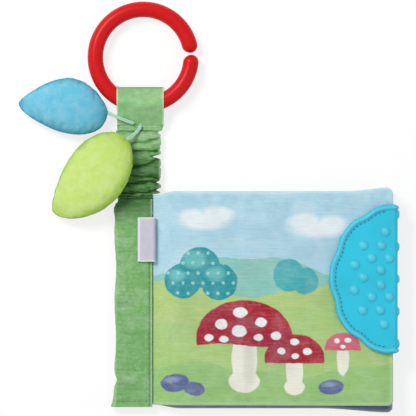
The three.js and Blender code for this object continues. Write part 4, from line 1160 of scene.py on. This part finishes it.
def loop_wall(x, inset):
    """Outlines of the loop across X: along the underside, round the folded end, and back drawn taut over the
    rod: a straight line that touches the rod's round, the round itself, and a straight line to the hem."""
    reach = RING_SECTION / 2 + CLOTH_GAP + LOOP_CLOTH - inset

    def over(angle):
        """The rod's round, where the near half of the ring passes through the loop."""
        radius = RING_RADIUS - reach * np.cos(angle)
        return (RING_Y - math.cos(RING_TILT) * np.sqrt(radius**2 - (x[:, None] - RING_X) ** 2),
                RING_LOW_Z + reach * np.sin(angle))

    low = CLOTH_GAP + inset
    flat = low + 2 * (LOOP_CLOTH - inset) + CLOTH_GAP
    start, start_z = LOOP_START - 0.8 * CLOTH_GAP + inset, HEM_THICK + CLOTH_GAP - inset
    fine = np.linspace(0, np.pi, 361)[None]
    round_y, round_z = over(fine)
    fold = np.maximum(LOOP_START + LOOP_LENGTH - inset, round_y[:, :1])
    # the straight lines touch the round where they are steepest
    ahead = fine[0, np.argmax((round_z - flat) / np.maximum(fold - round_y, 1e-6), axis=1)][:, None]
    behind = fine[0, np.argmax((round_z - start_z) / np.maximum(round_y - start, 1e-6), axis=1)][:, None]
    round_y, round_z = over(ahead + (behind - ahead) * np.linspace(0, 1, 44)[None])
    share = np.linspace(0, 1, 40)[None]
    turn = np.linspace(-math.pi / 2, math.pi / 2, 12)[None, 1:-1]
    y = np.concatenate([
        start + (fold - start) * share, fold + (LOOP_CLOTH - inset) / 4 * np.cos(turn),
        fold + (round_y[:, :1] - fold) * share[:, :-1:3], round_y,
        round_y[:, -1:] + (start - round_y[:, -1:]) * share[:, 1:]], 1)
    z = np.concatenate([
        fold * 0 + low + share * 0, low + (flat - low) / 2 * (1 + np.sin(turn)) + fold * 0,
        flat + (round_z[:, :1] - flat) * share[:, :-1:3], round_z,
        round_z[:, -1:] + (start_z - round_z[:, -1:]) * share[:, 1:]], 1)
    return xyz(x[:, None], y, z)


class CLOTHBOOK_OT_loop(bpy.types.Operator):
    """Make the stitched hem and the smooth loop that holds the ring"""
    bl_idname = "clothbook.loop"
    bl_label = "Hem and loop"

    def execute(self, context):
        size, ink = chosen()
        shade = tuple((np.array(ink["strap"]) + ink["cotton_shade"]) / 2)
        angle = circle(112)
        y = (HEM_START + (HEM_END - HEM_START) * (0.5 - 0.5 * np.cos(np.linspace(0, np.pi, 17))))[:, None]
        down = np.linspace(1, 0, 17)[:, None]
        drawn = 0.28 * down**6
        ridge = (0.07 * np.sin(angle * 34 + 1.2 * np.sin(angle * 5))
                 - 0.12 * down * (1 + np.sin(angle * 21 + 2 * down)))
        x = LOOP_X - 0.5 * down + (LOOP_WIDTH / 2 - drawn - 0.7 * down) * signed_power(np.cos(angle), 0.4)
        thick = HEM_THICK / 2 - 0.06 - drawn + np.minimum(ridge, 0.05)
        rows = xyz(x, y, CLOTH_GAP + HEM_THICK / 2 + thick * signed_power(np.sin(angle), 0.7))
        # painted shade where the hem draws in at its foot and in a line below the stitches; the hem is a
        # little paler all over
        hollow = np.clip(drawn / 0.28, 0, 1) * 0.3 + 0.45 * bell(y - HEM_END + 1.1, 0.3) + 0 * x
        dye = {"cotton": ink["strap"], "cotton_shade": shade}
        hem = make("sewn_hem", tube(rows), cotton_finish("hem_cotton", dye, size, 0.7, ribs=0.5),
                   {"hollow": capped(hollow, 0.5), "worn": capped(0 * hollow + 0.25)})
        place_piece(hem, "strap_end", "loop_cotton", "loop_hem")
        x = np.linspace(LOOP_X - 11.4, LOOP_X + 11.4, 120)
        path = xyz(x, HEM_END - 0.4, CLOTH_GAP + HEM_THICK - 0.12 - 0.8 * np.abs((x - LOOP_X) / 12.2) ** 9)
        sew("hem_stitches", [(path, (0, 0, 1))], size, thread_finish("pale_thread", srgb(196, 222, 176)),
            "strap_end", "loop_cotton")

        x = np.linspace(LOOP_X - LOOP_WIDTH / 2, LOOP_X + LOOP_WIDTH / 2, 72)
        outer, inner = loop_wall(x, 0.0), loop_wall(x, LOOP_CLOTH)
        # soft dents, and a slight ripple where the cloth comes down off the ring
        wave = ripples(outer, (11, 7.5, 9), 21) * 0.6 + ripples(outer, (4.5, 3.2, 5), 22) * 0.3
        outer[..., 2] -= 0.17 * (1 + np.tanh(wave)) * np.clip(outer[..., 2] - 1.4, 0, 1)
        # a cream painted highlight along the two side edges, and painted shade in the dents and along the
        # fold at the far end
        selvedge = bell(np.minimum(outer[..., 0] - x[0], x[-1] - outer[..., 0]), 0.55)
        past = LOOP_START + LOOP_LENGTH - outer[..., 1]
        hollow = 0.12 * np.clip(wave, 0, 1) + 0.75 * np.exp(-np.clip(past, 0, None) / 0.7)
        loop = make("cotton_loop", shell(outer, inner, wrap=True), self.finish(ink["strap"], shade, size),
                    {"hollow": both(hollow, 0.4), "selvedge": both(selvedge, selvedge)})
        place_piece(loop, None, "loop_cotton", "strap_loop")
        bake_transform(loop)
        return {"FINISHED"}

    @staticmethod
    def finish(base, shade, size):
        """Smooth cotton in soft blotches, with painted shade between its threads, in its dents and along its
        fold, and a cream painted highlight along its two side edges.
        """
        finish = Finish("loop_cotton", sheen_weight=0.2, sheen_roughness=0.5, specular_ior_level=0.18)
        place = finish.rest()
        x, y, z = finish.axes(place)
        blotch = finish.noise(place, 3.4, 3, 0.55)
        weave = finish.weave(x, y + z, size["cotton_weave"])
        tint = finish.layers(
            base, ((blotch - 0.36) * 1.8, paler(base, 0.78)), ((1 - weave) * 0.16, shade),
            (finish.tone("hollow"), shade), (finish.tone("selvedge") * 0.8, srgb(226, 234, 198)))
        return finish.done(tint, 0.84 + blotch * 0.1, weave * 0.6 + blotch * 0.5, 0.14, 0.8)


class CLOTHBOOK_OT_ring(bpy.types.Operator):
    """Make the link ring with its two round tips"""
    bl_idname = "clothbook.ring"
    bl_label = "Link ring"

    def execute(self, context):
        _, ink = chosen()
        radius = RING_SECTION / 2 + 0.18
        tip = math.asin((0.5 + radius) / RING_RADIUS)
        past = np.linspace(math.pi / 2, 0, 15)[:-1]
        start, thin = tip - radius * np.sin(past) / RING_RADIUS, radius * np.cos(past)
        body = np.linspace(tip, 2 * math.pi - tip, 260)
        stations = np.concatenate([start, body, (2 * math.pi - start)[::-1]])
        thick = np.concatenate([thin, np.full(260, radius), thin[::-1]])[:, None]
        # the rod's section carried round, then turned a little and leant down about X by the ring's tilt
        reach = RING_RADIUS - thick * np.cos(circle(56))
        flat = xyz(reach * np.cos(stations)[:, None], reach * np.sin(stations)[:, None],
                   thick * np.sin(circle(56)))
        rows = flat @ (turning(0, -RING_TILT) @ turning(2, math.radians(4))).T + (RING_X, RING_Y, RING_Z)
        finish = Finish("glossy_plastic", coat_weight=0.03, coat_roughness=0.2, specular_ior_level=0.12)
        place = finish.place()
        flow = finish.noise(place, 24, 2, 0.5)
        scuff = finish.noise(place, 0.9, 3, 0.7)
        material = finish.done(finish.mix(flow * 0.35, ink["ring"], darker(ink["ring"], 0.72)),
                               0.28 + scuff * 0.12, flow + scuff * 0.05, 0.15, 0.25)
        place_piece(make("glossy_ring", tube(rows), material, crisp=80), "link_ring", "red_plastic", "ring")
        return {"FINISHED"}


# Leaves and ties


def leaf_form(leaf, slim):
    """Two faces of a stuffed leaf in its own frame, joined at the seam. The rise over the seam's plane is a
    sine hump along the leaf times a crown across it, and each side's half width a sine hump, skewed and
    filled out. slim takes a share off all of it, for the filling to push out."""
    share, across = np.meshgrid(0.5 - 0.5 * np.cos(np.linspace(0, np.pi, 66)),
                                np.sin(np.linspace(-np.pi / 2, np.pi / 2, 41)), indexing="ij")
    safe = np.clip(share, 1e-9, 1)
    left, right = (half * np.sin(np.pi * safe**skew) ** full
                   for half, skew, full in (leaf["left"], leaf["right"]))
    width = np.where(across > 0, left, right) * (1 - slim)
    rise = (LEAF_THICK / 2) * (1 - slim) * np.sin(np.pi * share**0.8).clip(0) ** 0.6
    rise = rise * (1 - np.abs(across) ** 2.2).clip(0) ** 0.6
    width[-1], rise[-1] = 0, 0
    return [xyz(share * leaf["length"], across * width, side * rise) for side in (1, -1)], share, across


def leaf_knots(leaf):
    """Points on the middle line of a leaf's tie, from its root to the place where the leaf starts."""
    knots = np.array(leaf["root"]) + np.array(leaf["shares"]) * leaf["span"]
    return np.concatenate([knots, [leaf["end"]]]) if leaf["end"] else knots


def leaf_place(leaf, points):
    """From a leaf's own frame to the book's: turned about X, Y and Z in turn and put at the tie's end."""
    roll, pitch, turn = (turning(axis, math.radians(angle)) for axis, angle in enumerate(leaf["turns"]))
    whole = turn @ pitch @ roll
    return points @ whole.T + leaf_knots(leaf)[-1] + whole @ (1.5 * CLOTH_GAP - 0.012 * leaf["length"], 0, 0)


def read(values, key, wide=1):
    """A mesh's numbers for each point, as an array."""
    numbers = np.zeros(len(values) * wide)
    values.foreach_get(key, numbers)
    return numbers.reshape(-1, wide)


def fill_cloth(piece, seam, cap):
    """Stuffs a closed cloth: Blender's Cloth with pressure from within and a little spare cloth, at twenty
    times the size, the seam held. Each point then moves no further than cap, in millimetres."""
    scale, steps, scene, mesh = 20.0, 20, bpy.context.scene, piece.data
    start = read(mesh.vertices, "co", 3)
    work = mesh.copy()
    work.vertices.foreach_set("co", (start * scale).ravel())
    body = bpy.data.objects.new("stuffing", work)
    scene.collection.objects.link(body)
    body.vertex_groups.new(name="seam").add(np.nonzero(seam)[0].tolist(), 1.0, "REPLACE")
    cloth = body.modifiers.new("cloth", "CLOTH")
    settings = dict(
        quality=6, mass=0.25, tension_stiffness=22, compression_stiffness=22, shear_stiffness=8,
        bending_stiffness=0.6, use_pressure=True, uniform_pressure_force=5, shrink_min=-0.075,
        vertex_group_mass="seam")
    for key, value in settings.items():
        setattr(cloth.settings, key, value)
    cloth.settings.effector_weights.gravity = 0
    cloth.collision_settings.use_collision = False
    cloth.point_cache.frame_start, cloth.point_cache.frame_end = 1, steps
    for number in range(1, steps + 1):
        scene.frame_set(number)
    solved = body.evaluated_get(bpy.context.evaluated_depsgraph_get())
    shift = (read(solved.to_mesh().vertices, "co", 3) / scale - start) / MM
    solved.to_mesh_clear()
    scene.frame_set(1)
    bpy.data.objects.remove(body)
    bpy.data.meshes.remove(work)
    far = np.linalg.norm(shift, axis=1, keepdims=True)
    shift *= np.tanh(far / cap) * cap / np.maximum(far, 1e-9)
    if not np.isfinite(shift).all():
        raise RuntimeError(f"the filling of {piece.name} went astray")
    mesh.vertices.foreach_set("co", (start + shift * MM).ravel())
    mesh.update()


def rumple(mesh, seed):
    """Small lumps of filling under the cloth, drawn in only, and nothing below the table."""
    place = read(mesh.vertices, "co", 3) / MM
    lumps = ripples(place, (9, 9, 9), seed) * 0.6 + ripples(place, (4, 4, 4), seed + 3) * 0.4
    place -= read(mesh.vertex_normals, "vector", 3) * (0.16 * (1 + lumps))[:, None]
    place[:, 2] = np.maximum(place[:, 2], 0.12)
    mesh.vertices.foreach_set("co", (place * MM).ravel())
    mesh.update()


def plush_finish(name, base, edge, size):
    """Short velour: mottled where the pile lies over, with painted shade along the seam and at the ends,
    where the stuffed leaf curves away.
    """
    finish = Finish(name, sheen_weight=0.55, sheen_roughness=0.35, specular_ior_level=0.1)
    place = finish.place()
    patch = finish.noise(place, 4.6, 3, 0.55, 0.5)
    pile = finish.noise(place, size["plush_pile"], 3, 0.7)
    tint = finish.layers(
        base, ((patch - 0.38).clip(), paler(base, 0.7)), ((pile - 0.5).clip() * 0.8, edge),
        (finish.tone("seam") * 0.85, edge), (finish.tone("end") * 0.75, edge))
    return finish.done(tint, 0.86 + pile * 0.1, pile * 0.6 + patch * 0.8, 0.5, 0.75)


class CLOTHBOOK_OT_leaves(bpy.types.Operator):
    """Make the two stuffed plush leaves"""
    bl_idname = "clothbook.leaves"
    bl_label = "Stuffed leaves"

    def execute(self, context):
        size, ink = chosen()
        for number, (name, leaf) in enumerate(LEAVES.items()):
            walls, share, across = leaf_form(leaf, 0.06)
            # painted shade along the seam and at the two ends; held marks the points that the filling keeps
            # still
            near_seam = np.abs(across)
            ends = np.exp(-share / 0.11) + np.exp(-(1 - share) / 0.05)
            tones = {"seam": np.clip((near_seam - 0.72) / 0.28, 0, 1) ** 1.6, "end": ends,
                     "held": (near_seam > 0.999) | (ends > 0.98)}
            finish = plush_finish(f"{name}_velour", ink[leaf["plush"]], srgb(*leaf["edge"]), size)
            piece = make(f"stuffed_{name}", shell(*(leaf_place(leaf, wall) for wall in walls)), finish,
                         {key: both(tone, tone) for key, tone in tones.items()}, crisp=180)
            held = read(piece.data.attributes["held"].data, "value")[:, 0] > 0.5
            fill_cloth(piece, held, size["leaf_swell"])
            rumple(piece.data, 90 + number)
            smooth = piece.modifiers.new("smooth", "SUBSURF")
            smooth.levels = smooth.render_levels = 1
            nodes = [f"{name}_{part}" for part in ("front_panel", "filling", "back_panel")]
            place_piece(piece, name, leaf["plush"], *nodes)
        return {"FINISHED"}


class CLOTHBOOK_OT_ties(bpy.types.Operator):
    """Make the two flat ties of the leaves"""
    bl_idname = "clothbook.ties"
    bl_label = "Ties"

    def execute(self, context):
        _, ink = chosen()
        for name, leaf in LEAVES.items():
            knots = leaf_knots(leaf)
            path = smooth_path(np.concatenate([knots[:1] + leaf["sewn"], knots]), 64)
            slope = unit(np.gradient(path, axis=0))
            side = unit(xyz(-slope[:, 1], slope[:, 0], 0))
            across, rise = np.cos(circle(36)), np.sin(circle(36))
            # two rounded strands side by side, lightly twisted over the length
            thick = 0.5 * np.abs(rise) ** 0.8 * (1 - 0.38 * bell(across, 0.24))
            lay = 1 + 0.05 * np.sin(np.linspace(0, 40, 64))[:, None]
            rows = (path[:, None] + side[:, None] * (0.9 * across * lay)[..., None]
                    + np.cross(slope, side)[:, None] * (np.sign(rise) * thick * lay)[..., None])
            # painted shade in the groove between the strands
            groove = np.broadcast_to(bell(across, 0.22), rows.shape[:2])
            tie = make(f"{name}_flat_cord", tube(rows), self.finish(f"{name}_tie_cord", ink["tie"]),
                       {"hollow": capped(groove)}, crisp=80)
            place_piece(tie, leaf["tie_body"], "tie_cord", f"{name}_tie")
        return {"FINISHED"}

    @staticmethod
    def finish(name, base):
        """Twisted cord, with painted shade in the groove between its strands."""
        finish = Finish(name, sheen_weight=0.3, specular_ior_level=0.25)
        place = finish.rest()
        x, y, z = finish.axes(place)
        strand = ((x - y) * 6.5 + z * 3).wave()
        dark = darker(base, 0.55)
        tint = finish.layers(base, (strand * 0.35, dark), (finish.tone("hollow") * 0.6, dark))
        return finish.done(tint, 0.75 + finish.noise(place, 1.0) * 0.15, strand, 0.1, 0.7)


# Carried solids and the stage


class CLOTHBOOK_OT_inside(bpy.types.Operator):
    """Give the crinkle film, the sewn margins and the elastic band their finishes"""
    bl_idname = "clothbook.inside"
    bl_label = "Film, margins and elastic"

    def execute(self, context):
        size, ink = chosen()
        finishes = {
            "crinkle_film": self.film(ink["film"]),
            "sewn_margin": cotton_finish("margin_cotton", ink, size, solid=True),
            "elastic_band": self.elastic(),
        }
        for name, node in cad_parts.items():
            for ending, material in finishes.items():
                if not name.endswith(ending):
                    continue
                if not node.material_slots:
                    raise RuntimeError(f"{name} has no place for a finish")
                for place in node.material_slots:
                    place.material = material
        return {"FINISHED"}

    @staticmethod
    def film(base):
        """Clear haze with sharp crackled creases."""
        film = Finish("crinkle_film", specular_ior_level=0.6)
        place = film.place()
        crackle = film.add("ShaderNodeTexVoronoi", {"Vector": place, "Scale": 0.16},
                           feature="DISTANCE_TO_EDGE")["Distance"]
        haze = film.noise(place, 9, 3)
        return film.done(film.mix(haze * 0.5, base, darker(base, 0.8)), 0.22 + haze * 0.2,
                         crackle.least(0.2) * 5 + haze, 0.4, 0.6)

    @staticmethod
    def elastic():
        """Knitted ribs crossed by rows of loops."""
        band = Finish("knit_elastic", sheen_weight=0.2, specular_ior_level=0.25)
        x, y, _ = band.axes(band.place())
        loop = (y * (2 * math.pi / 0.8)).wave() * 0.5 + (x * (2 * math.pi / 1.25)).wave() * 0.5
        tint = band.mix(loop * 0.3, srgb(232, 232, 226), srgb(168, 168, 162))
        return band.done(tint, 0.7 + loop * 0.2, loop, 0.2, 0.8)


class CLOTHBOOK_OT_stage(bpy.types.Operator):
    """Set the white table, the soft studio light and the camera straight above"""
    bl_idname = "clothbook.stage"
    bl_label = "Stage"

    def execute(self, context):
        scene = context.scene
        scene.view_settings.view_transform = "Standard"
        mesh = bpy.data.meshes.new("table")
        corners = np.array([(-1, -1), (1, -1), (1, 1), (-1, 1)]) * TABLE_HALF
        mesh.from_pydata([(x, y, TABLE_Z) for x, y in corners], [], [(0, 1, 2, 3)])
        table = bpy.data.objects.new("table", mesh)
        scene.collection.objects.link(table)
        finish = Finish("white_table", roughness=0.9, specular_ior_level=0.0)
        paper = finish.noise(finish.place(), 60, 1)
        finish.feed(finish.shader.inputs["Base Color"], finish.mix(paper * 0.03, (0.97,) * 3, (0.94,) * 3))
        glow = finish.add("ShaderNodeEmission", {"Color": (1.0, 1.0, 1.0), "Strength": 1.0})[0]
        rays = finish.add("ShaderNodeLightPath")["Is Camera Ray"]
        finish.feed(finish.end, finish.blend(rays * 0.75, Wire(finish, finish.shader.outputs[0]), glow))
        mesh.materials.append(finish.material)
        self.world(scene)
        for name, (place, width, power, tint) in LAMPS.items():
            light = bpy.data.lights.new(name, "AREA")
            light.shape, light.size, light.energy, light.color = "DISK", width, power, tint
            lamp = bpy.data.objects.new(name, light)
            lamp.location = place
            aim = Vector(LAMP_AIM) - Vector(place)
            lamp.rotation_euler = aim.to_track_quat("-Z", "Y").to_euler()
            scene.collection.objects.link(lamp)
        lens = bpy.data.cameras.new("camera")
        lens.lens, lens.sensor_width, lens.clip_start = 220, 36, 0.01
        camera = bpy.data.objects.new("camera", lens)
        camera.location = CAMERA_PLACE
        scene.collection.objects.link(camera)
        scene.camera = camera
        return {"FINISHED"}

    @staticmethod
    def world(scene):
        """An even pale light all round, and plain white for what the camera or a gloss sees of it."""
        scene.world = world = bpy.data.worlds.new("studio")
        world.use_nodes = True
        nodes = Nodes(world.node_tree)
        rays = nodes.add("ShaderNodeLightPath")
        clear = rays["Is Camera Ray"].most(rays["Is Glossy Ray"]).most(rays["Is Transmission Ray"])
        light = nodes.add("ShaderNodeBackground", {"Color": (0.97, 0.985, 1), "Strength": 0.5})[0]
        white = nodes.add("ShaderNodeBackground", {"Color": (1, 1, 1)})[0]
        nodes.add("ShaderNodeOutputWorld", {"Surface": nodes.blend(clear, light, white)})


# Panel, registration and the whole book

OPERATORS = [
    CLOTHBOOK_OT_stage, CLOTHBOOK_OT_pages, CLOTHBOOK_OT_gutters, CLOTHBOOK_OT_teether, CLOTHBOOK_OT_binding,
    CLOTHBOOK_OT_label, CLOTHBOOK_OT_strap, CLOTHBOOK_OT_loop, CLOTHBOOK_OT_ring, CLOTHBOOK_OT_leaves,
    CLOTHBOOK_OT_ties, CLOTHBOOK_OT_inside,
]


class CLOTHBOOK_PT_pieces(bpy.types.Panel):
    """Buttons for the book's pieces, and their sizes and colours"""
    bl_idname = "CLOTHBOOK_PT_pieces"
    bl_label = "Cloth Book"
    bl_space_type = "VIEW_3D"
    bl_region_type = "UI"
    bl_category = "Cloth Book"

    def draw(self, context):
        column = self.layout.column(align=True)
        for operator in OPERATORS:
            column.operator(operator.bl_idname, text=operator.bl_label)
        for title, settings in (("Sizes", context.scene.cloth_book_sizes),
                                ("Colours", context.scene.cloth_book_colours)):
            box = self.layout.box()
            box.label(text=title)
            for name in type(settings).__annotations__:
                box.prop(settings, name, text=name.replace("_", " ").capitalize())


CLASSES = [ClothBookSizes, ClothBookColours, *OPERATORS, CLOTHBOOK_PT_pieces]


def register():
    for each in CLASSES:
        bpy.utils.register_class(each)
    bpy.types.Scene.cloth_book_sizes = bpy.props.PointerProperty(type=ClothBookSizes)
    bpy.types.Scene.cloth_book_colours = bpy.props.PointerProperty(type=ClothBookColours)


def unregister():
    del bpy.types.Scene.cloth_book_sizes
    del bpy.types.Scene.cloth_book_colours
    for each in reversed(CLASSES):
        bpy.utils.unregister_class(each)


def main():
    register()
    for operator in OPERATORS:
        group, name = operator.bl_idname.split(".")
        getattr(getattr(bpy.ops, group), name)()


if __name__ == "__main__":
    main()
